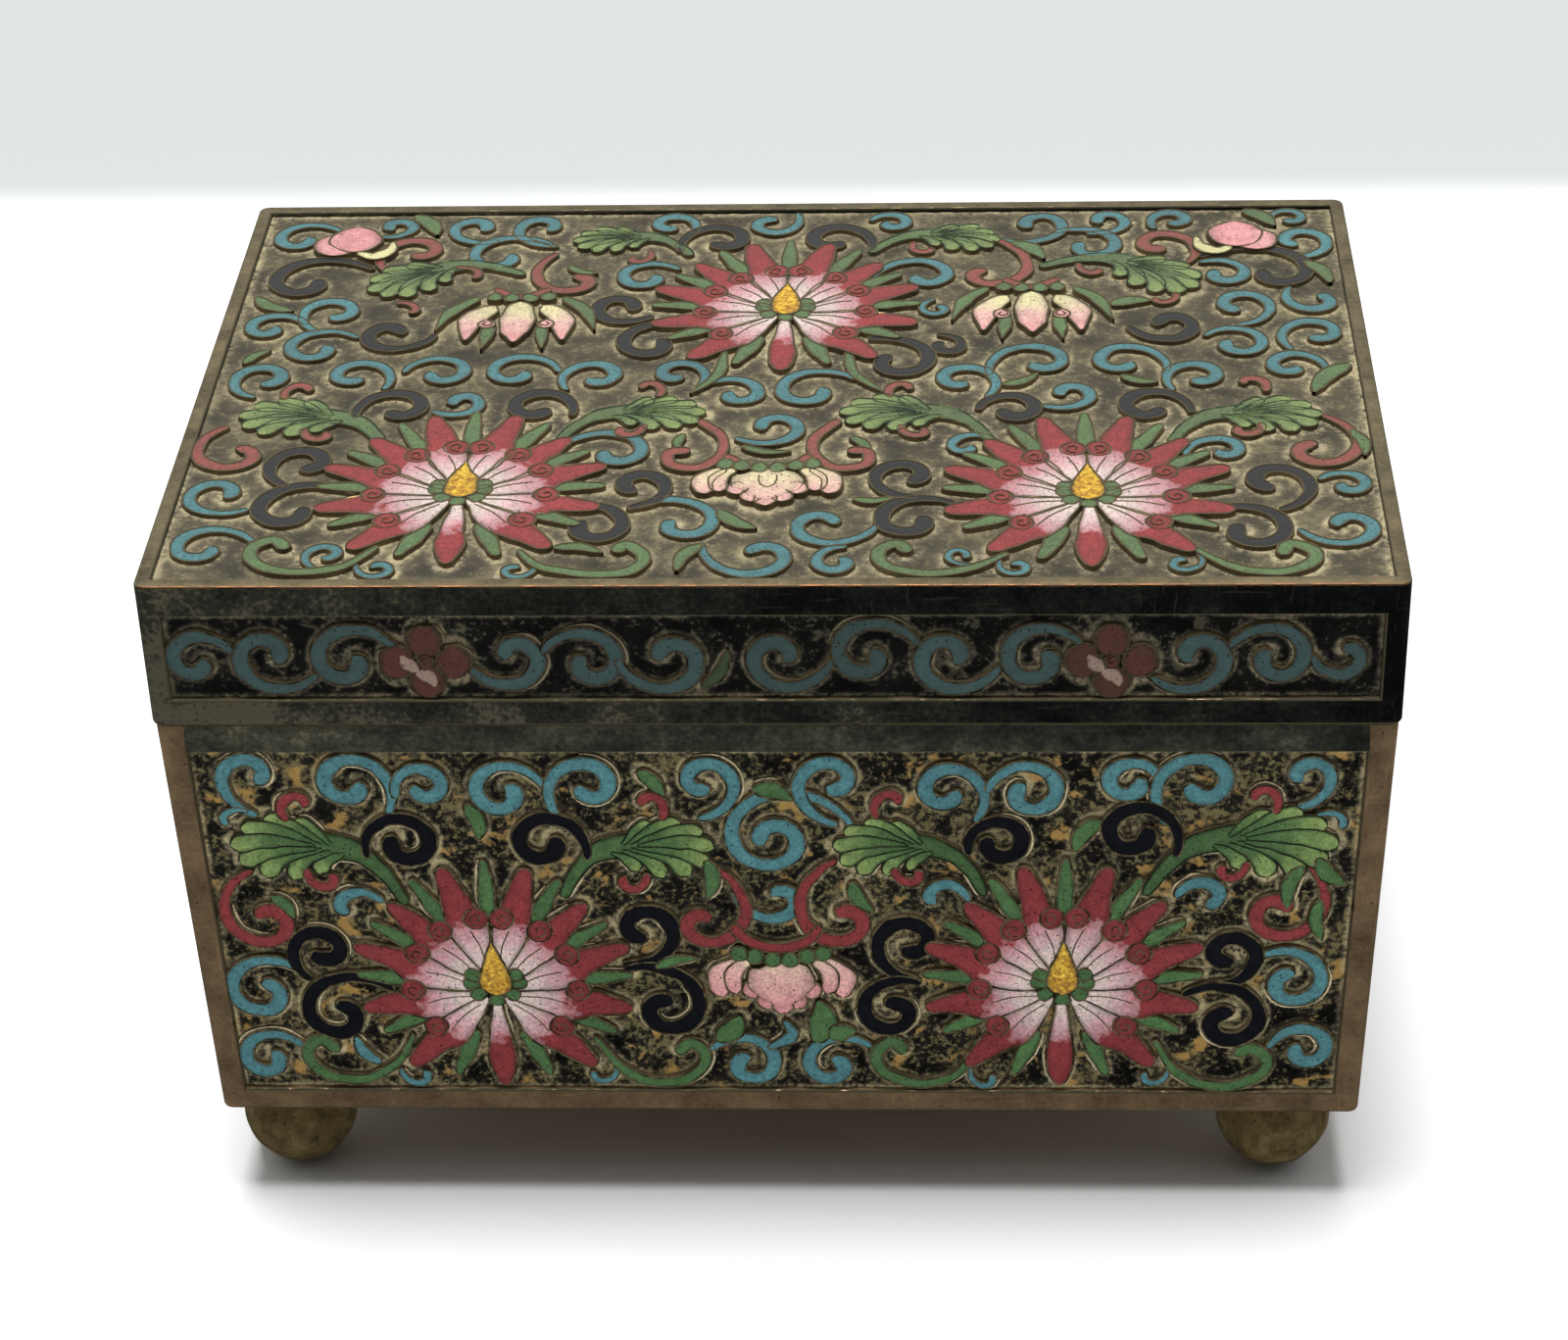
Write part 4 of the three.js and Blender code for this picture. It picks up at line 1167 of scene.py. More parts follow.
@dataclass
class Shell:
    """A hollow sheet-metal box with sunk panels, open below or above."""

    name: str
    low: Vector
    high: Vector
    sizes: BoxSizes
    frame: Triple
    worn: float = 0.00028  # how wide its edges are rubbed
    piece: Object | None = None

    def start(self, metals: Iterable[Material]) -> Object:
        """Models the outside block and leaves it in edit mode.

        Args:
            metals: its materials, in the order of Metal.

        Returns:
            The block.
        """
        clear_selection()
        middle = (self.low + self.high) / 2
        bpy.ops.mesh.primitive_cube_add(size=1, location=middle, scale=self.high - self.low)
        piece = bpy.context.active_object
        piece.name = piece.data.name = self.name
        settle(piece)
        for metal in metals:
            piece.data.materials.append(metal)
        bpy.ops.object.mode_set(mode="EDIT")
        self.piece = piece
        return piece

    def round_corners(self) -> None:
        """Rounds the upright edges, the inner ones half as much as the outer."""
        for inside in (False, True):

            def upright(edge: bmesh.types.BMEdge) -> bool:
                """Whether an edge stands upright, on the side that is being rounded."""
                first, last = (corner.co for corner in edge.verts)
                within = abs(first.x) < self.high.x - 1.2 * self.sizes.corner
                return abs(first.z - last.z) > 0.001 and within == inside

            pick(self.piece, Part.EDGES, upright)
            radius = self.sizes.corner / (2 if inside else 1)
            bpy.ops.mesh.bevel(offset=radius, segments=4, affect="EDGES")

    def sink_panel(self, way: Vector, low: Vector, high: Vector) -> None:
        """Cuts a panel's outline into one side and pushes it in.

        Args:
            way: the side's outward direction.
            low: the panel's lowest corner; the part along the direction is not used.
            high: its highest corner.
        """
        reach = max(abs(self.low.dot(way)), abs(self.high.dot(way)))

        def on_side(face: bmesh.types.BMFace) -> bool:
            """Whether a face is part of the side's outer plane."""
            centre = face.calc_center_median()
            return face.normal.dot(way) > 0.99 and abs(abs(centre.dot(way)) - reach) < 1e-5

        for axis in range(3):
            if abs(way[axis]) > 0.5:
                continue
            for corner in (low, high):
                cut = Vector((0, 0, 0))
                cut[axis] = 1
                pick(self.piece, Part.FACES, on_side)
                bpy.ops.mesh.bisect(plane_co=corner, plane_no=cut, use_fill=False, threshold=1e-6)

        def in_panel(face: bmesh.types.BMFace) -> bool:
            """Whether a face of the side lies inside the panel's outline."""
            centre = face.calc_center_median()
            inside = all(low[a] < centre[a] < high[a] for a in range(3) if abs(way[a]) < 0.5)
            return on_side(face) and inside

        pick(self.piece, Part.FACES, in_panel)
        shift = -way * self.sizes.sink
        bpy.ops.mesh.extrude_region_move(TRANSFORM_OT_translate={"value": tuple(shift)})

    def sink_sides(self) -> None:
        """Sinks a panel into each of the four upright sides."""
        side, base, rim = self.frame
        for axis in (0, 1):
            for sign in (-1, 1):
                way = Vector((0, 0, 0))
                way[axis] = sign
                low = self.low + Vector((side, side, base))
                high = self.high - Vector((side, side, rim))
                self.sink_panel(way, low, high)

    def wear_edges(self) -> None:
        """Rounds the sharp edges of the outer planes, with the worn metal on them."""
        planes = [(axis, value) for axis in range(3) for value in (self.low[axis], self.high[axis])]

        def sharp_and_outer(edge: bmesh.types.BMEdge) -> bool:
            """Whether an edge lies on an outer plane and its faces meet sharply.

            Args:
                edge: the edge.

            Returns:
                True if it does.
            """
            if len(edge.link_faces) != 2 or edge.calc_face_angle(0) < math.radians(50):
                return False
            ends = [corner.co for corner in edge.verts]
            return any(all(abs(end[axis] - value) < 2e-5 for end in ends) for axis, value in planes)

        pick(self.piece, Part.EDGES, sharp_and_outer)
        bpy.ops.mesh.bevel(offset=self.worn, segments=2, affect="EDGES", material=Metal.WORN)

    def finish(self) -> None:
        """Leaves edit mode and shades the shell smooth up to its edges."""
        bpy.ops.object.mode_set(mode="OBJECT")
        take_up(self.piece)
        bpy.ops.object.shade_smooth_by_angle(angle=math.radians(32))


class Metal(IntEnum):
    """The places of a shell's metals among its materials."""

    SIDE = 0
    WORN = 1
    INSIDE = 2
    UPPER = 3


@dataclass
class Lid:
    """The lift-off lid: a shallow tray upside down, with a sunk top and four sunk skirts."""

    sizes: BoxSizes
    metals: tuple[Material, ...]

    def build(self) -> Object:
        """Models and dresses the lid's metal.

        Returns:
            The lid's shell.
        """
        sizes = self.sizes
        shell = Shell("lid_shell", sizes.lid_low, sizes.lid_high, sizes, sizes.skirt_frame)
        piece = shell.start(self.metals)
        pick(piece, Part.FACES, lambda face: face.normal.z < -0.99)
        bpy.ops.mesh.inset(thickness=sizes.wall, use_even_offset=True)
        rise = sizes.lid_high.z - sizes.lid_low.z - sizes.lid_plate
        bpy.ops.mesh.extrude_region_move(TRANSFORM_OT_translate={"value": (0, 0, rise)})
        shell.round_corners()
        shell.sink_sides()
        rim = Vector((sizes.top_frame, sizes.top_frame, 0))
        shell.sink_panel(Vector((0, 0, 1)), sizes.lid_low + rim, sizes.lid_high - rim)
        shell.wear_edges()
        shell.finish()
        self.dress(piece)
        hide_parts("lid")
        hand_over(piece, "lid_metal")
        return piece

    def dress(self, piece: Object) -> None:
        """Gives the top frame and the inside their own metals.

        Args:
            piece: the lid's shell.
        """
        within = self.sizes.half_lid - Vector((1, 1)) * (self.sizes.wall / 1.5)
        for face in piece.data.polygons:
            if face.material_index == Metal.WORN:
                continue
            inside = (abs(face.center.x) < within.x and abs(face.center.y) < within.y
                      and face.center.z < self.sizes.lid_high.z - 2 * self.sizes.sink)
            if inside:
                face.material_index = Metal.INSIDE
            elif face.normal.z > 0.9:
                face.material_index = Metal.UPPER


@dataclass
class Body:
    """The box's body: leaning sides with a sunk panel each, a flat base, and a locating lip."""

    sizes: BoxSizes
    metals: tuple[Material, ...]

    def build(self) -> Object:
        """Models and dresses the body's metal.

        Returns:
            The body's shell.
        """
        sizes = self.sizes
        reach = Vector((*sizes.half_body, 0))
        low = Vector((0, 0, sizes.base)) - reach
        high = Vector((0, 0, sizes.seam)) + reach
        shell = Shell("body_shell", low, high, sizes, sizes.body_frame)
        piece = shell.start(self.metals)
        pick(piece, Part.FACES, lambda face: face.normal.z > 0.99)
        bpy.ops.mesh.inset(thickness=sizes.wall + sizes.lip_play - sizes.overhang, use_even_offset=True)
        bpy.ops.mesh.extrude_region_move(TRANSFORM_OT_translate={"value": (0, 0, sizes.lip_rise)})
        bpy.ops.mesh.inset(thickness=sizes.lip_wall, use_even_offset=True)
        drop = sizes.seam + sizes.lip_rise - sizes.base - sizes.base_plate
        bpy.ops.mesh.extrude_region_move(TRANSFORM_OT_translate={"value": (0, 0, -drop)})
        shell.round_corners()
        shell.sink_sides()
        shell.wear_edges()
        shell.finish()
        places = np.array([corner.co for corner in piece.data.vertices])
        piece.data.vertices.foreach_set("co", sizes.leaned(places).ravel())
        piece.data.update()
        self.dress(piece)
        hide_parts("box_body")
        hand_over(piece, "body_metal")
        return piece

    def dress(self, piece: Object) -> None:
        """Gives the inside, the lip and the rails over the panels their own metals.

        Args:
            piece: the body's shell.
        """
        within = self.sizes.half_body - Vector((1, 1)) * (self.sizes.taper + self.sizes.wall / 1.3)
        side, _, rim = self.sizes.body_frame
        for face in piece.data.polygons:
            if face.material_index == Metal.WORN:
                continue
            inside = (abs(face.center.x) < within.x and abs(face.center.y) < within.y
                      and face.center.z > self.sizes.base + 0.5 * self.sizes.base_plate)
            # A rail's face is broad: over 50 square millimetres.
            rail = (self.sizes.seam - rim < face.center.z < self.sizes.seam - 0.0005
                    and abs(face.center.x) < 0.9 * self.sizes.half_body.x + side
                    and len(face.vertices) > 3 and face.area > 0.00005)
            if inside:
                face.material_index = Metal.INSIDE
            elif rail:
                face.material_index = Metal.UPPER


@dataclass
class BallFeet:
    """Four cast ball feet, let a little into the base plate and worn flat where they stand."""

    metal: Material
    names: tuple[str, ...] = ("foot_front_left", "foot_front_right", "foot_back_left", "foot_back_right")

    def build(self) -> None:
        """Models one foot and copies it to the four corners."""
        low, high = (Vector(corner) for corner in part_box(self.names[0]))
        pattern = self.pattern(low, high)
        first = (low + high) / 2
        for index, name in enumerate(self.names):
            corner_low, corner_high = (Vector(corner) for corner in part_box(name))
            take_up(pattern)
            bpy.ops.object.duplicate()
            piece = bpy.context.active_object
            piece.name = piece.data.name = name.replace("foot", "ball_foot")
            turn = index * math.pi / 2 + 0.3
            bpy.ops.object.mode_set(mode="EDIT")
            bpy.ops.mesh.select_all(action="SELECT")
            bpy.ops.transform.rotate(value=turn, orient_axis="Z", center_override=first)
            bpy.ops.object.mode_set(mode="OBJECT")
            piece.location = (corner_low + corner_high) / 2 - first
            settle(piece)
            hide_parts(name)
            hand_over(piece, "foot_brass")
        bpy.data.objects.remove(pattern)

    def pattern(self, low: Vector, high: Vector) -> Object:
        """Models one foot, which the four are copied from.

        Args:
            low: the lowest corner of the solid's box.
            high: its highest corner.

        Returns:
            The foot.
        """
        radius = (high.x - low.x) / 2
        clear_selection()
        middle = (low + high) / 2
        centre = Vector((middle.x, middle.y, low.z + radius * 0.994))
        bpy.ops.mesh.primitive_uv_sphere_add(segments=56, ring_count=36, radius=radius, location=centre)
        piece = bpy.context.active_object
        settle(piece)
        bpy.ops.object.mode_set(mode="EDIT")
        # Cut flat at the sole, and a little inside the base plate.
        for height, up in ((low.z + 0.00006, -1), (high.z + 0.0002, 1)):
            bpy.ops.mesh.select_all(action="SELECT")
            bpy.ops.mesh.bisect(
                plane_co=(0, 0, height), plane_no=(0, 0, up), use_fill=True, clear_outer=True, threshold=1e-7,
            )
        bpy.ops.object.mode_set(mode="OBJECT")
        lumps = bpy.data.textures.new("cast_lumps", "CLOUDS")
        lumps.noise_scale = 2.8 * MM
        dents = piece.modifiers.new("cast_lumps", "DISPLACE")
        dents.texture = lumps
        dents.texture_coords = "LOCAL"
        dents.strength = 0.00028
        dents.mid_level = 0.62
        take_up(piece)
        bpy.ops.object.modifier_apply(modifier=dents.name)
        for corner in piece.data.vertices:
            corner.co.z = max(corner.co.z, 0.0)
        piece.data.materials.append(self.metal)
        bpy.ops.object.shade_smooth_by_angle(angle=math.radians(40))
        return piece


# ---- finishes ----

# The patterns' sizes in millimetres on the box; the ones drawn coarser than real say so.
SPECKLE_MM = 0.4  # the glass's fine bubbles, drawn coarser than real
SCRATCH_MM = 1 / 2.2  # a scratch before it is stretched, drawn coarser than real
METAL_PITS_MM = 1.1  # from one pit of the metal to the next
TARNISH_MM, FLECK_MM, SPOT_MM, REGION_MM = 5.5, 0.75, 4.4, 17  # on the sunk ground

PIT_DARK = "#17130f"  # the dirt that fills a pinhole in glass
METAL_PIT_DARK = "#14110c"  # and a pit in metal
SCRATCH_WAYS = (((0, 0.12, 0.35), (1.4, 1.4, 0.1)), ((0.4, 0.9, 1.2), (0.06, 1.9, 1.3)))

Inputs = dict | Sequence
Start = tuple[Material, Callable[..., Node], Node, NodeSocket]


def linear(code: str) -> tuple[float, float, float, float]:
    """Turns an sRGB hex colour to the linear colour that a shader takes.

    Args:
        code: the colour, as # and six hex digits.

    Returns:
        Its red, green and blue in linear light, and 1 for its alpha.
    """
    parts = [int(code[i:i + 2], 16) / 255 for i in (1, 3, 5)]
    red, green, blue = (c / 12.92 if c <= 0.04045 else ((c + 0.055) / 1.055) ** 2.4 for c in parts)
    return red, green, blue, 1.0


def feed(node: Node, inputs: Inputs) -> None:
    """Sets or links a node's inputs.

    Args:
        node: the node.
        inputs: by name, by place or in order: a value, a socket, or a node for its first output in use.
    """
    for name, value in inputs.items() if isinstance(inputs, dict) else enumerate(inputs):
        if isinstance(value, Node):
            value = next(output for output in value.outputs if output.enabled)
        if isinstance(value, NodeSocket):
            node.id_data.links.new(value, node.inputs[name])
        else:
            node.inputs[name].default_value = value


def add_node(tree: NodeTree, kind: str, inputs: Inputs = (), **settings: object) -> Node:
    """Adds a node with its settings and links.

    Args:
        tree: the material's nodes.
        kind: the node's type, without ShaderNode.
        inputs: as feed takes them.
        **settings: its own settings; stops are a colour ramp's (place, hex colour) pairs.

    Returns:
        The node.
    """
    node = tree.nodes.new(f"ShaderNode{kind}")
    for name, value in settings.items():
        if name != "stops":
            setattr(node, name, value)
            continue
        ramp = node.color_ramp.elements
        while len(ramp) < len(value):
            ramp.new(0.5)
        for element, (place, colour) in zip(ramp, value):
            element.position = place
            element.color = linear(colour)
    feed(node, inputs)
    return node


def begin(name: str, **fixed: float) -> Start:
    """Starts a material.

    Args:
        name: its name.
        **fixed: values set on the shader's own sockets, with _ for a space in the socket's name.

    Returns:
        The material, add_node for its nodes, its shader, and the object's coordinates in millimetres.
    """
    material = bpy.data.materials.new(name)
    material.use_nodes = True
    material.node_tree.nodes.clear()
    add = partial(add_node, material.node_tree)
    shader = add("BsdfPrincipled", {k.replace("_", " "): v for k, v in fixed.items()})
    add("OutputMaterial", {"Surface": shader})
    spot = add("TexCoord").outputs["Object"]
    place = add("Mapping", {"Vector": spot, "Scale": (1000, 1000, 1000)})
    return material, add, shader, place.outputs[0]


def pinholes(
    add: Callable[..., Node], place: NodeSocket, spacing: float, edge: Point, share: float
) -> Node:
    """Draws the tiny round holes that gas leaves in fired glass, and wear in soft metal.

    Args:
        add: add_node for the material's nodes.
        place: the object's coordinates in millimetres.
        spacing: from one hole to the next, in millimetres.
        edge: how far from its middle a hole begins and is deep, in spacings.
        share: how many of the places have a hole, from 0 to 1.

    Returns:
        A node that gives 1 in a hole and 0 elsewhere.
    """
    cells = add("TexVoronoi", {"Vector": place, "Scale": 1 / spacing})
    hole = add("MapRange", (cells, *edge), **SMOOTH)
    chance = add("SeparateXYZ", [cells.outputs["Color"]])
    some = add("Math", (chance, share), operation="LESS_THAN")
    return add("Math", (hole, some), **MULTIPLY)


@dataclass(frozen=True)
class EnamelFinish:
    """Fired glass between its wires: smooth, a little cloudy, with black pinholes.

    Its stops run along a cell, from its root to its tip. Old polish is drawn with it too.
    """

    name: str
    stops: tuple[tuple[float, str], ...]
    roughness: float = 0.34
    cloud_mm: float = 1.7
    pit_mm: float = 0.9  # from one pinhole to the next; they are drawn coarser than real
    pit_share: float = 0.8
    drift: float = 0.07
    # A film over the glass: grime on the skirts, and on the lid's top dust together with painted sheen.
    dust: float = 0.0
    dust_colour: str = "#8b8468"

    def material(self) -> Material:
        """Makes the finish's material.

        Returns:
            The material.
        """
        material, add, shader, place = begin(f"enamel_{self.name}", Specular_IOR_Level=0.4)
        cloud = add("TexNoise", {"Vector": place, "Scale": 1 / self.cloud_mm, "Detail": 4.0})
        fine = add("TexNoise", {"Vector": place, "Scale": 1 / SPECKLE_MM, "Detail": 4.0, "Roughness": 0.7})
        grade, tone, rim = (
            add("Attribute", attribute_name=name).outputs["Fac"] for name in ("grade", "tone", "rim")
        )
        # The colour runs along the cell, straying a little with the cloud.
        stray = add("MapRange", (cloud, 0.3, 0.7, -self.drift, self.drift))
        run = add("Math", (grade, stray))
        colour = add("ValToRGB", [run], stops=self.stops)
        # It is darker at the wires: partly grime, and partly painted shade that stands in for the doming of
        # the glass. It is also cloudy, and speckled by bubbles.
        value = add("MapRange", (rim, 0.6, 1.0, 1.0, 0.5))
        mottle = add("MapRange", (cloud, 0.3, 0.7, 0.84, 1.12))
        speckle = add("MapRange", (fine, 0.38, 0.62, 0.68, 1.18))
        for factor in (mottle, speckle, tone):
            value = add("Math", (value, factor), **MULTIPLY)
        base = add("HueSaturation", {"Color": colour, "Value": value})
        # The film; on the lid's top it is dust and painted sheen.
        film = add("MapRange", (fine, 0.25, 0.75, 0.5 * self.dust, 1.5 * self.dust))
        pit = pinholes(add, place, self.pit_mm, (0.17, 0.09), self.pit_share)
        for share, shade in ((film, self.dust_colour), (pit, PIT_DARK)):
            base = add("Mix", {0: share, 6: base, 7: linear(shade)}, **BLEND)
        rough = add("MapRange", (fine, 0.3, 0.7, self.roughness - 0.07, self.roughness + 0.16))
        relief = add("Math", (pit, -2.0, fine), **MULTIPLY_ADD)
        bump = add("Bump", {"Height": relief, "Strength": 0.5, "Distance": 0.03 * MM})
        feed(shader, {"Base Color": base, "Roughness": rough, "Normal": bump})
        return material


@dataclass(frozen=True)
class MetalFinish:
    """Tarnished metal: a brown skin over it, worn through where it is handled.

    Its stops run from the thickest skin to the barest metal. Along the box's three ways it pales by so much
    with each millimetre, painted light as from a lamp to one side, and start is where the stops begin.
    """

    name: str
    stops: tuple[tuple[float, str], ...]
    metallic: float = 0.6
    roughness: float = 0.5
    patch_mm: float = 7.0
    grain_mm: float = 0.5
    grain: float = 0.32
    scratch: str = "#9a8a66"
    scratch_share: float = 0.22
    painted_light_slope: Triple = (0.0, 0.0, 0.0)
    start: float = 0.42
    bump_mm: float = 0.03
    pit_share: float = 0.25

    def material(self) -> Material:
        """Makes the finish's material.

        Returns:
            The material.
        """
        material, add, shader, place = begin(f"metal_{self.name}", Metallic=self.metallic)
        patch = add("TexNoise", {
            "Vector": place, "Scale": 1 / self.patch_mm, "Detail": 6.0, "Roughness": 0.62})
        grain = add("TexNoise", {
            "Vector": place, "Scale": 1 / self.grain_mm, "Detail": 3.0, "Roughness": 0.6})
        # Painted light: the metal pales along this slope, as if lit more from one side.
        lean = add("VectorMath", (place, self.painted_light_slope), operation="DOT_PRODUCT")
        bare = add("Math", (grain, self.grain, patch), **MULTIPLY_ADD)
        bare = add("Math", (bare, lean))
        level = add("MapRange", (bare, self.start, self.start + 0.5))
        skin = add("ValToRGB", [level], stops=self.stops)
        lines = []
        for turn, stretch in SCRATCH_WAYS:
            rub = add("Mapping", {"Vector": place, "Rotation": turn, "Scale": stretch})
            mark = add("TexNoise", {"Vector": rub, "Scale": 1 / SCRATCH_MM, "Detail": 1.0})
            lines.append(add("MapRange", (mark, 0.66, 0.74), **SMOOTH))
        marks = add("Math", lines, operation="MAXIMUM")
        marks = add("Math", (marks, self.scratch_share), **MULTIPLY)
        rubbed = add("Mix", {0: marks, 6: skin, 7: linear(self.scratch)}, **BLEND)
        pit = pinholes(add, place, METAL_PITS_MM, (0.16, 0.07), self.pit_share)
        base = add("Mix", {0: pit, 6: rubbed, 7: linear(METAL_PIT_DARK)}, **BLEND)
        rough = add("MapRange", (bare, 0.4, 0.95, self.roughness + 0.14, self.roughness - 0.1))
        relief = add("Math", (pit, -1.6, grain), **MULTIPLY_ADD)
        bump = add("Bump", {"Height": relief, "Strength": 0.6, "Distance": self.bump_mm * MM})
        feed(shader, {"Base Color": base, "Roughness": rough, "Normal": bump})
        return material


@dataclass(frozen=True)
class WireFinish:
    """Drawn brass wire or a worn edge: bright where it is rubbed, brown where it is not.

    Edge is the colour of bare copper along the lid's front upper edge, and none elsewhere.
    """

    name: str
    dark: str
    bright: str
    rubbed: float
    patch_mm: float = 2.2
    edge: str = ""

    def material(self) -> Material:
        """Makes the finish's material.

        Returns:
            The material.
        """
        material, add, shader, place = begin(f"wire_{self.name}")
        patch = add("TexNoise", {
            "Vector": place, "Scale": 1 / self.patch_mm, "Detail": 5.0, "Roughness": 0.7})
        level = 0.62 - 0.3 * self.rubbed
        share = add("MapRange", (patch, level - 0.1, level + 0.1), **SMOOTH)
        base = add("Mix", {0: share, 6: linear(self.dark), 7: linear(self.bright)}, **BLEND)
        if self.edge:
            spot = add("SeparateXYZ", [place])
            edge = add("MapRange", (spot.outputs[1], -50.0, -50.35, 0.0, 0.75))
            high = add("MapRange", (spot.outputs[2], 95.7, 96.0))
            left = add("MapRange", (patch, 0.38, 0.62, 0.3))
            for factor in (high, left):
                edge = add("Math", (edge, factor), **MULTIPLY)
            base = add("Mix", {0: edge, 6: base, 7: linear(self.edge)}, **BLEND)
            share = add("Math", (share, edge), use_clamp=True)
        metal = add("MapRange", (share, 0.0, 1.0, 0.35, 1.0))
        rough = add("MapRange", (share, 0.0, 1.0, 0.62, 0.34))
        feed(shader, {"Base Color": base, "Metallic": metal, "Roughness": rough})
        return material


@dataclass(frozen=True)
class GroundFinish:
    """The sunk copper ground: rough, tarnished, with pale old polish caught beside the wires.

    Near is the residue at which polish begins and is thickest. Patch is the colour of the spots
    where the tarnish has come off.
    """

    name: str
    dark: str
    light: str
    fleck: str
    caught: str
    flecks: float
    catching: float
    near: Point
    patch: str
    patch_level: float
    roughness: float = 0.85

    def material(self) -> Material:
        """Makes the finish's material.

        Returns:
            The material.
        """
        material, add, shader, place = begin(f"ground_{self.name}", Metallic=0.15)
        broad = add("TexNoise", {"Vector": place, "Scale": 1 / TARNISH_MM, "Detail": 5.0, "Roughness": 0.6})
        speck = add("TexNoise", {"Vector": place, "Scale": 1 / FLECK_MM, "Detail": 4.0, "Roughness": 0.72})
        drift = add("TexNoise", {
            "Vector": place, "Scale": 1 / SPOT_MM, "Detail": 6.0, "Roughness": 0.62, "Distortion": 0.3})
        region = add("TexNoise", {"Vector": place, "Scale": 1 / REGION_MM, "Detail": 2.0})
        tint = add("MapRange", (broad, 0.36, 0.66))
        both = add("Math", (broad, 0.55, speck), **MULTIPLY_ADD)
        level = 1.0 - 0.25 * self.flecks
        flake = add("MapRange", (both, level - 0.09, level + 0.07), **SMOOTH)
        spot = add("MapRange", (drift, self.patch_level - 0.02, self.patch_level + 0.05), **SMOOTH)
        # Polish lies near the wires, broken up, and thicker in some regions than in others.
        residue = add("Attribute", attribute_name="residue")
        film = add("MapRange", (residue.outputs["Fac"], *self.near), **SMOOTH)
        broken = add("MapRange", (both, 0.64, 0.88, 0.08, 1.0))
        thick = add("MapRange", (region, 0.36, 0.64, 0.25, 1.25))
        for factor in (broken, thick, self.catching):
            film = add("Math", (film, factor), **MULTIPLY)
        base = add("Mix", {0: tint, 6: linear(self.dark), 7: linear(self.light)}, **BLEND)
        for share, colour in ((flake, self.fleck), (spot, self.patch), (film, self.caught)):
            base = add("Mix", {0: share, 6: base, 7: linear(colour)}, **BLEND)
        rough = add("MapRange", (speck, 0.3, 0.7, self.roughness - 0.25, self.roughness))
        bump = add("Bump", {"Height": speck, "Strength": 0.9, "Distance": 0.18 * MM})
        feed(shader, {"Base Color": base, "Roughness": rough, "Normal": bump})
        return material


# The glass: opaque colours, chalky in the flowers and deep in the navy; and pale old polish.
ENAMELS = {
    Enamel.SKY: EnamelFinish("sky", ((0, "#4d8c93"), (0.5, "#5a989c"), (1, "#6ba6a6"))),
    Enamel.NAVY: EnamelFinish("navy", ((0, "#0f1420"), (1, "#20283a")), pit_share=0.35, drift=0.12),
    Enamel.RED: EnamelFinish("red", ((0, "#9a3234"), (1, "#ab4441"))),
    Enamel.GREEN: EnamelFinish("green", ((0, "#507c44"), (1, "#668e50"))),
    Enamel.LEAF: EnamelFinish("leaf", ((0, "#456c39"), (0.5, "#5b8044"), (1, "#96b060"))),
    Enamel.LOTUS: EnamelFinish("lotus", (
        (0, "#f0e0d4"), (0.24, "#e9cfc9"), (0.38, "#dba9ad"), (0.47, "#cd8e93"), (0.52, "#9c3034"),
        (1, "#923032"))),
    Enamel.SEED: EnamelFinish(
        "seed", ((0, "#a8741a"), (0.4, "#dca41c"), (1, "#fbd444")), pit_share=0.9, pit_mm=0.6,
        cloud_mm=0.6, drift=0.5),
    Enamel.BLUSH: EnamelFinish("blush", (
        (0, "#eb9fa0"), (0.45, "#f2c1b4"), (0.7, "#ecdcae"), (1, "#e6e0a4"))),
    Enamel.POLISH: EnamelFinish("polish", ((0, "#dccda6"), (1, "#f8efd4")), roughness=0.8, cloud_mm=0.8),
}

# How much pale grey film lies on the lid's top glass: dust, and painted sheen that stands in for the glossy
# glass's reflection of the bright room.
DUST_AND_SHEEN = {
    Enamel.SEED: 0.05, Enamel.LOTUS: 0.06, Enamel.BLUSH: 0.08, Enamel.NAVY: 0.06, Enamel.POLISH: 0.5,
    Enamel.SKY: 0.09,
}
OTHER_DUST_AND_SHEEN = 0.2

# Brass wire: bright gold lines on the front, dull brown ones on the top and the skirt.
FRONT_WIRE = WireFinish("front", "#54482f", "#d9c896", 0.55, patch_mm=1.6)
TOP_WIRE = WireFinish("top", "#4a4129", "#7b6c48", 0.25)
SKIRT_WIRE = WireFinish("skirt", "#3f3829", "#9a8a66", 0.4)
# The veins of the leaves: thin dark lines that the glass has all but covered.
LEAF_WIRE = WireFinish("leaf", "#22301a", "#7c8a52", 0.1)
# The shells' rubbed edges: a fine lighter line, reddish along the lid's front.
WORN_EDGE = WireFinish("worn_edge", "#575038", "#86775a", 0.1, edge="#8a5636")
# The cells' outer walls: dull brown, so that each cell stands off from the ground.
CELL_WALL = MetalFinish("cell_wall", ((0, "#3c3322"), (1, "#8c7a58")), metallic=0.2, roughness=0.7)

# The lid's ground: brownish grey all over, paler in a halo round each cell.
TOP_GROUND = GroundFinish(
    "top", "#342f22", "#59523c", "#70684b", "#b3a682", 0.5, 1.0, near=(0.12, 0.85), patch="#453c2d",
    patch_level=0.62,
)
# The front's ground: black, with gold flecks where the tarnish is off.
FRONT_GROUND = GroundFinish(
    "front", "#0e0d09", "#2d2816", "#82774b", "#cfc194", 0.6, 1.1, near=(0.4, 0.85), patch="#b8914a",
    patch_level=0.585,
)
# The skirt's ground: nearly black, with few flecks.
SKIRT_GROUND = GroundFinish(
    "skirt", "#0b0b09", "#1b1a13", "#5c5740", "#a79a78", 0.3, 0.8, near=(0.4, 0.9), patch="#4c4733",
    patch_level=0.62,
)

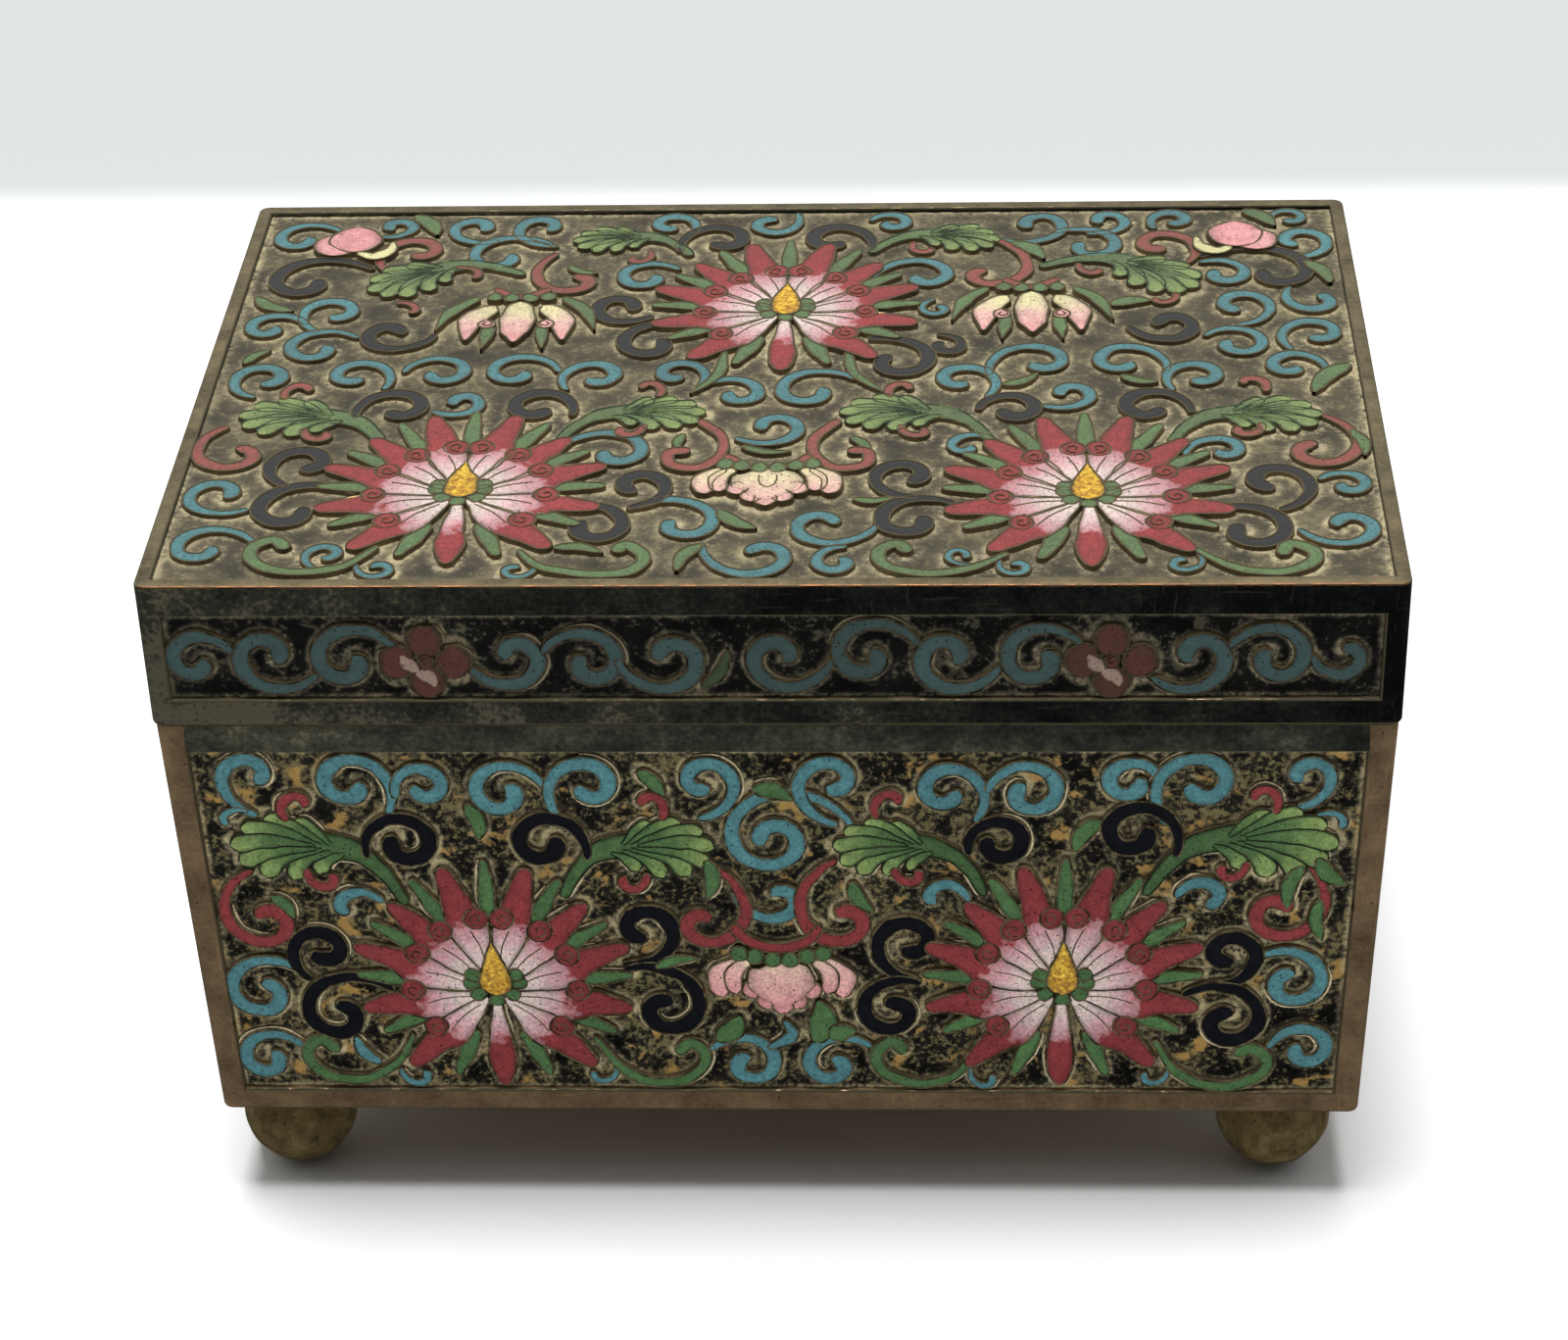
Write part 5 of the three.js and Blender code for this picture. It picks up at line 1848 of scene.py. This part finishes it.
# The lid's skirt: black patina over the copper, paler and greener to the lower left; the paling to the left
# is painted light, as from a lamp on that side.
LID_SKIRT = MetalFinish(
    "lid_skirt", ((0, "#0d1010"), (0.45, "#262a22"), (0.8, "#414234"), (1, "#6b6551")),
    painted_light_slope=(-0.0032, 0, -0.008), start=-0.11, metallic=0.5, scratch_share=0.1, scratch="#8a8268",
    grain=0.62, grain_mm=0.7, patch_mm=9.0,
)
# The lid's top frame: bronze brown, a little golden where hands have polished it.
LID_TOP = MetalFinish(
    "lid_top", ((0, "#3f3a26"), (0.5, "#6b6046"), (1, "#8a7a5a")), patch_mm=5.0, scratch="#b59a6c",
)
# The body's posts and lower rail: warm, almost pinkish copper, its colours raised in part as painted
# reflection of the white floor.
BODY_SIDE = MetalFinish(
    "body_side", ((0, "#685136"), (0.45, "#927959"), (0.8, "#b0926c"), (1, "#c6a680")), scratch="#dcbc8e",
)
# The rail below the lid: grey green, where the patina is thicker in the lid's shade. It pales a little to the
# left: painted light, as from a lamp on that side.
BODY_RAIL = MetalFinish(
    "body_rail", ((0, "#282c26"), (0.45, "#4b4f42"), (0.8, "#70705c"), (1, "#9f967c")),
    painted_light_slope=(-0.001, 0, 0), start=0.52, scratch_share=0.08, grain=0.52, grain_mm=0.7,
)
# The inside: plain brown metal that nobody has polished.
INSIDE = MetalFinish("inside", ((0, "#3b3425"), (0.6, "#5c5039"), (1, "#776748")), patch_mm=14.0)
# The feet: dull yellow cast brass, pitted and lumpy, with a soft shine; their colours are raised in part as
# painted reflection of the white floor.
FOOT_BRASS = MetalFinish(
    "foot_brass", ((0, "#5a4d31"), (0.5, "#9c8657"), (1, "#d0b87a")), metallic=0.7, roughness=0.42,
    patch_mm=3.4, grain_mm=0.7, bump_mm=0.07, pit_share=0.6, scratch="#b8a06a",
)


# ---- the studio ----


@dataclass
class Studio:
    """A flat white paper floor, greyed behind by painted shade in place of a sweep; a soft light overhead in
    a room that is dark in front; and the camera.
    """

    lens: float = 87.58
    eye: Triple = (0.0234, -0.4324, 0.33606)
    pitch: float = 33.35
    yaw: float = -3.26
    roll: float = 1.89
    # where the painted shade of a sweep begins, in metres behind the box's middle
    sweep: float = 0.245

    def build(self) -> None:
        """Sets the floor, the light and the camera."""
        self.floor()
        self.lights()
        self.camera()

    def camera(self) -> None:
        """Sets the camera, turned by its pitch, yaw and roll."""
        lens = bpy.data.cameras.new("camera")
        lens.lens = self.lens
        lens.sensor_width = 36
        lens.sensor_fit = "HORIZONTAL"
        lens.clip_start = 0.01
        lens.clip_end = 20
        camera = bpy.data.objects.new("camera", lens)
        bpy.context.collection.objects.link(camera)
        turn = (
            Matrix.Rotation(math.radians(self.roll), 3, "Z")
            @ Matrix.Rotation(math.radians(self.pitch), 3, "X")
            @ Matrix.Rotation(math.radians(self.yaw), 3, "Y")
        )
        upright = Matrix(((1, 0, 0), (0, 0, -1), (0, 1, 0)))
        camera.matrix_world = Matrix.Translation(self.eye) @ (upright @ turn.transposed()).to_4x4()
        bpy.context.scene.camera = camera

    def lights(self) -> None:
        """Sets the soft light overhead and the room, bright above and behind the box."""
        light = bpy.data.lights.new("overhead", "SUN")
        light.angle = math.radians(24)
        light.energy = 3.42
        lamp = bpy.data.objects.new("overhead", light)
        aim = Vector((0.05, -0.03, -1))
        lamp.rotation_euler = aim.to_track_quat("-Z", "Y").to_euler()
        bpy.context.collection.objects.link(lamp)
        world = bpy.data.worlds.new("room")
        world.use_nodes = True
        add = partial(add_node, world.node_tree)
        way = add("SeparateXYZ", [add("TexCoord").outputs["Generated"]])
        bright = add("Math", (way.outputs[1], way.outputs[2]))
        level = add("MapRange", (bright, -0.1, 0.9, 0.03, 0.6), **SMOOTH)
        feed(world.node_tree.nodes["Background"], {"Color": linear("#f6f9fa"), "Strength": level})
        bpy.context.scene.world = world
        bpy.context.scene.view_settings.view_transform = "Standard"

    def floor(self) -> None:
        """Lays the flat white paper, greyed behind the box by painted shade where a sweep would rise."""
        clear_selection()
        bpy.ops.mesh.primitive_plane_add(size=8, location=(0, 0, -0.00005))
        floor = bpy.context.active_object
        floor.name = floor.data.name = "paper_floor"
        settle(floor)
        material, add, shader, place = begin("white_paper", Roughness=0.85)
        # Plain white paper in front. Behind the box a grey sets in over 24 mm and deepens further back:
        # painted shade that stands in for a sweep rising into less light, for the paper lies flat.
        depth = add("SeparateXYZ", [place]).outputs[1]
        sweep = self.sweep / MM
        back = add("MapRange", (depth, sweep - 12, sweep + 12), **SMOOTH)
        far = add("MapRange", (depth, sweep, 4 * sweep))
        # The grey is painted shade of a sweep that is not modelled.
        wall = add("Mix", {0: far, 6: linear("#bdc0bf"), 7: linear("#acb0af")}, **BLEND)
        paper = add("Mix", {0: back, 6: linear("#ffffff"), 7: wall}, **BLEND)
        feed(shader, {"Base Color": paper})
        floor.data.materials.append(material)
        # The floor shows in no reflection; the lower body's and the feet's colours are raised in its place as
        # painted reflection.
        floor.visible_glossy = False
        floor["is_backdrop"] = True


# ---- the drawings of the panels ----


def top_drawing() -> Drawing:
    """The lid's top: three lotuses among scrolls, two buds, and the corner buds.

    Returns:
        The drawing.
    """
    # The top's glass is drawn darker, at 0.68 of its tone: painted shade, so that the top is no brighter than
    # the front under the strong overhead light.
    drawing = Drawing(band=2.2, tone=0.68)
    drawing.scrolls(TOP_SCROLLS)
    drawing.motifs(TOP_CURLS, TOP_LEAVES, TOP_SPRIGS, TOP_TENDRILS)
    for places in (
        ((-10.3, 39.8), (-7.2, 35.6), (-7.2, 31), (-9.6, 27.9), (-13.2, 28.6), (-13.6, 31.6), (-11, 32.2)),
        ((7.5, 39.8), (4.5, 35), (4.9, 30.4), (7.6, 27.6), (11, 28.6), (11.2, 31.6), (8.6, 32)),
        ((-6.6, 31), (-4, 28.3), (-1, 27.6), (2, 28.4), (4.2, 31)),
    ):
        drawing.add(Enamel.RED, smooth_path(places, 90), ((0, 0.8), (0.5, 0.85), (1, 0.95)), lift=0.02)
    for u, v in TOP_LOTUSES:
        drawing.lotus(u, v)
    for bud in TOP_BUDS:
        drawing.bud(*bud)
    drawing.hanging_flower(-1, 27.6, 17.6, (0.75, 0.4))
    for u, v, side in ((-61, 90.4, -1), (60.5, 90.4, 1)):
        drawing.spot(Enamel.BLUSH, u + side * 2.6, v - 1.6, 3.2, 0.04, 0.1)
        drawing.spot(Enamel.BLUSH, u, v, 3.8, 0.07, 0.0)
        crescent = [(u - side * a, v - b) for a, b in ((0.6, 3.8), (3, 5), (5, 3.4), (5.4, 0.8))]
        widths = ((0, 0.7), (0.5, 1.3), (1, 0.5))
        drawing.add(Enamel.BLUSH, smooth_path(crescent), widths, lift=0.05, grade=(1, 1))
    return drawing


def front_drawing() -> Drawing:
    """The body's front: two lotuses, four curling leaves, scrolls, and a flower in the middle.

    Returns:
        The drawing.
    """
    drawing = Drawing(band=2.45, rng=np.random.default_rng(SEED + 1))
    drawing.scrolls(FRONT_SCROLLS)
    drawing.motifs(FRONT_CURLS, FRONT_LEAVES, FRONT_SPRIGS, FRONT_TENDRILS)
    for places in (((0, 15.2), (1.1, 12.6), (-2.2, 10.4)), ((-56.4, 12.2), (-55.6, 9.6), (-53.4, 7.8))):
        drawing.add(Enamel.SKY, smooth_path(places), ((0, 0.5), (0.5, 1.1), (1, 0.6)))
    cup = ((-6.2, 30.8), (-4, 28.1), (-0.4, 27), (3.2, 28), (5.2, 30.6))
    drawing.add(Enamel.RED, smooth_path(cup, 80), ((0, 0.9), (0.5, 0.95), (1, 0.8)), lift=0.02)
    for u, v in FRONT_LOTUSES:
        drawing.lotus(u, v)
    drawing.hanging_flower(0, 25.4, 18, (0.62, 0.0))
    drawing.polish(0.8)
    return drawing


def skirt_drawing() -> Drawing:
    """The lid's front skirt: a running scroll with two flowers.

    Returns:
        The drawing.
    """
    drawing = Drawing(band=2.45, tone=0.5, rng=np.random.default_rng(SEED + 2))
    drawing.scrolls({Enamel.SKY: SKIRT_SCROLLS})
    for u, v in SKIRT_FLOWERS:
        drawing.flower(u, v)
    for row in SKIRT_SPRIGS:
        drawing.sprig(*row)
    scratch = smooth_path([(-66.4, 19.4), (-66, 17.8), (-65.3, 16.3)])
    drawing.add(Enamel.GREEN, scratch, ((0, 0.15), (0.4, 0.4), (1, 0.2)), lift=0.11, glazed=False)
    drawing.polish(0.8)
    return drawing


def plain_skirt_drawing(width: float, middle: float = 9.7, pitch: float = 9.8) -> Drawing:
    """A running scroll that fills a skirt of some width, winding up and down in turn.

    Args:
        width: the sunk panel's width.
        middle: the height of the scrolls' centres.
        pitch: from one scroll to the next.

    Returns:
        The drawing.
    """
    drawing = Drawing(band=2.45, tone=0.5, rng=np.random.default_rng(SEED + 3))
    count = int(width / pitch / 2) * 2
    for index in range(count):
        u = (index - (count - 1) / 2) * pitch
        hand = 1 if index % 2 else -1
        drawing.scroll(Enamel.SKY, u, middle, 4.1, u - 0.62 * pitch, middle - hand * 2.4, 350 * hand)
    return drawing


def plain_drawing(wide: bool) -> Drawing:
    """The plainer drawing of the back and the ends: one lotus among mirrored scrolls.

    Args:
        wide: whether it is the back's, which has more scrolls.

    Returns:
        The drawing.
    """
    drawing = Drawing(band=2.5, rng=np.random.default_rng(SEED + 4))
    drawing.scrolls(PLAIN_SCROLLS, mirrored=True)
    if wide:
        drawing.scrolls(WIDE_SCROLLS, mirrored=True)
    for u, v, tip_u, tip_v, width in PLAIN_SPRIGS:
        for side in (-1, 1):
            drawing.sprig(side * u, v, side * tip_u, tip_v, width)
    drawing.lotus(0, 30)
    return drawing


# ---- the box ----


def all_panels(sizes: BoxSizes) -> Iterable[Panel]:
    """The box's nine enamelled panels.

    Args:
        sizes: the box's sizes.

    Yields:
        Each panel, ready to be built.
    """
    glass = {enamel: finish.material() for enamel, finish in ENAMELS.items()}
    # The lid's top glass: copies under a pale film of dust and painted sheen.
    dusty_and_sheen = {
        enamel: replace(finish, name=f"{finish.name}_dusty", dust=DUST_AND_SHEEN.get(enamel, OTHER_DUST_AND_SHEEN)).material()
        for enamel, finish in ENAMELS.items()
    }
    grimy = {
        enamel: replace(finish, name=f"{finish.name}_grimy", dust=0.4, dust_colour="#46432f").material()
        for enamel, finish in ENAMELS.items()
    }
    front_wire, top_wire, skirt_wire = (f.material() for f in (FRONT_WIRE, TOP_WIRE, SKIRT_WIRE))
    shared = (LEAF_WIRE.material(), CELL_WALL.material())
    top_ground, front_ground, skirt_ground = (f.material() for f in (TOP_GROUND, FRONT_GROUND, SKIRT_GROUND))
    plain = replace(FRONT_GROUND, name="plain", flecks=0.42, patch="#7d6a40", patch_level=0.62)
    plain_ground = plain.material()
    half, frame = sizes.half_lid, sizes.top_frame
    place = Place((0, -half.y, sizes.lid_high.z - sizes.sink), (1, 0, 0), (0, 1, 0), (0, 0, 1))
    edges = tuple(edge / MM for edge in (frame - half.x, frame, half.x - frame, 2 * half.y - frame))
    yield Panel("lid_top", place, edges, top_drawing(), CellSection(), dusty_and_sheen, top_wire, *shared, top_ground,
                "lid_metal")
    ways = {
        "front": ((1, 0, 0), (0, -1, 0)), "back": ((-1, 0, 0), (0, 1, 0)),
        "left": ((0, -1, 0), (-1, 0, 0)), "right": ((0, 1, 0), (1, 0, 0)),
    }
    storeys = {
        "skirt": (sizes.half_lid, sizes.skirt_frame, sizes.seam, sizes.lid_high.z, None),
        "body": (sizes.half_body, sizes.body_frame, sizes.base, sizes.seam, sizes),
    }
    level = CellSection(sunk=0.0, crown=0.0)
    for side, (across, out) in ways.items():
        axis = 0 if out[0] else 1
        front = side == "front"
        for storey, (half, (margin, base, rim), low, high, leaning) in storeys.items():
            reach = half[axis] - sizes.sink
            end = half[1 - axis] - margin
            edges = tuple(edge / MM for edge in (-end, base, end, high - low - rim))
            place = Place((out[0] * reach, out[1] * reach, low), across, (0, 0, 1), out, leaning)
            if storey == "skirt":
                drawing = skirt_drawing() if front else plain_skirt_drawing(edges[2] - edges[0])
                looks = (grimy, skirt_wire, *shared, skirt_ground, "lid_metal")
            else:
                drawing = front_drawing() if front else plain_drawing(side == "back")
                looks = (glass, front_wire, *shared, front_ground if front else plain_ground, "body_metal")
            yield Panel(f"{storey}_{side}", place, edges, drawing, level, *looks, 0.5 if front else 0.9)


def write_sizes(solid: tuple, dressed: tuple) -> None:
    """Args:
        solid: the lowest and highest corners of the solids.
        dressed: those of the dressed box.
    """
    boxes = {"cad": solid, "visual": dressed}
    plain = {name: [[float(value) for value in corner] for corner in box] for name, box in boxes.items()}


def main() -> None:
    """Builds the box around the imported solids."""
    logging.basicConfig(level=logging.INFO, format="%(message)s")
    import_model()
    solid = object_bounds()
    Studio().build()
    sizes = BoxSizes.measured()
    worn_edge, inside = WORN_EDGE.material(), INSIDE.material()
    lid = Lid(sizes, (LID_SKIRT.material(), worn_edge, inside, LID_TOP.material())).build()
    LOG.info("%s: %d faces", lid.name, len(lid.data.polygons))
    body = Body(sizes, (BODY_SIDE.material(), worn_edge, inside, BODY_RAIL.material())).build()
    LOG.info("%s: %d faces", body.name, len(body.data.polygons))
    BallFeet(FOOT_BRASS.material()).build()
    blades = {stations: Blade(stations) for stations in (SHORT, MEDIUM, LONG)}
    for panel in all_panels(sizes):
        panel.build(blades)
        LOG.info("%s: %d strokes", panel.name, len(panel.drawing.strokes))
    clear_selection()
    write_sizes(solid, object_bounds())


if __name__ == "__main__":
    main()
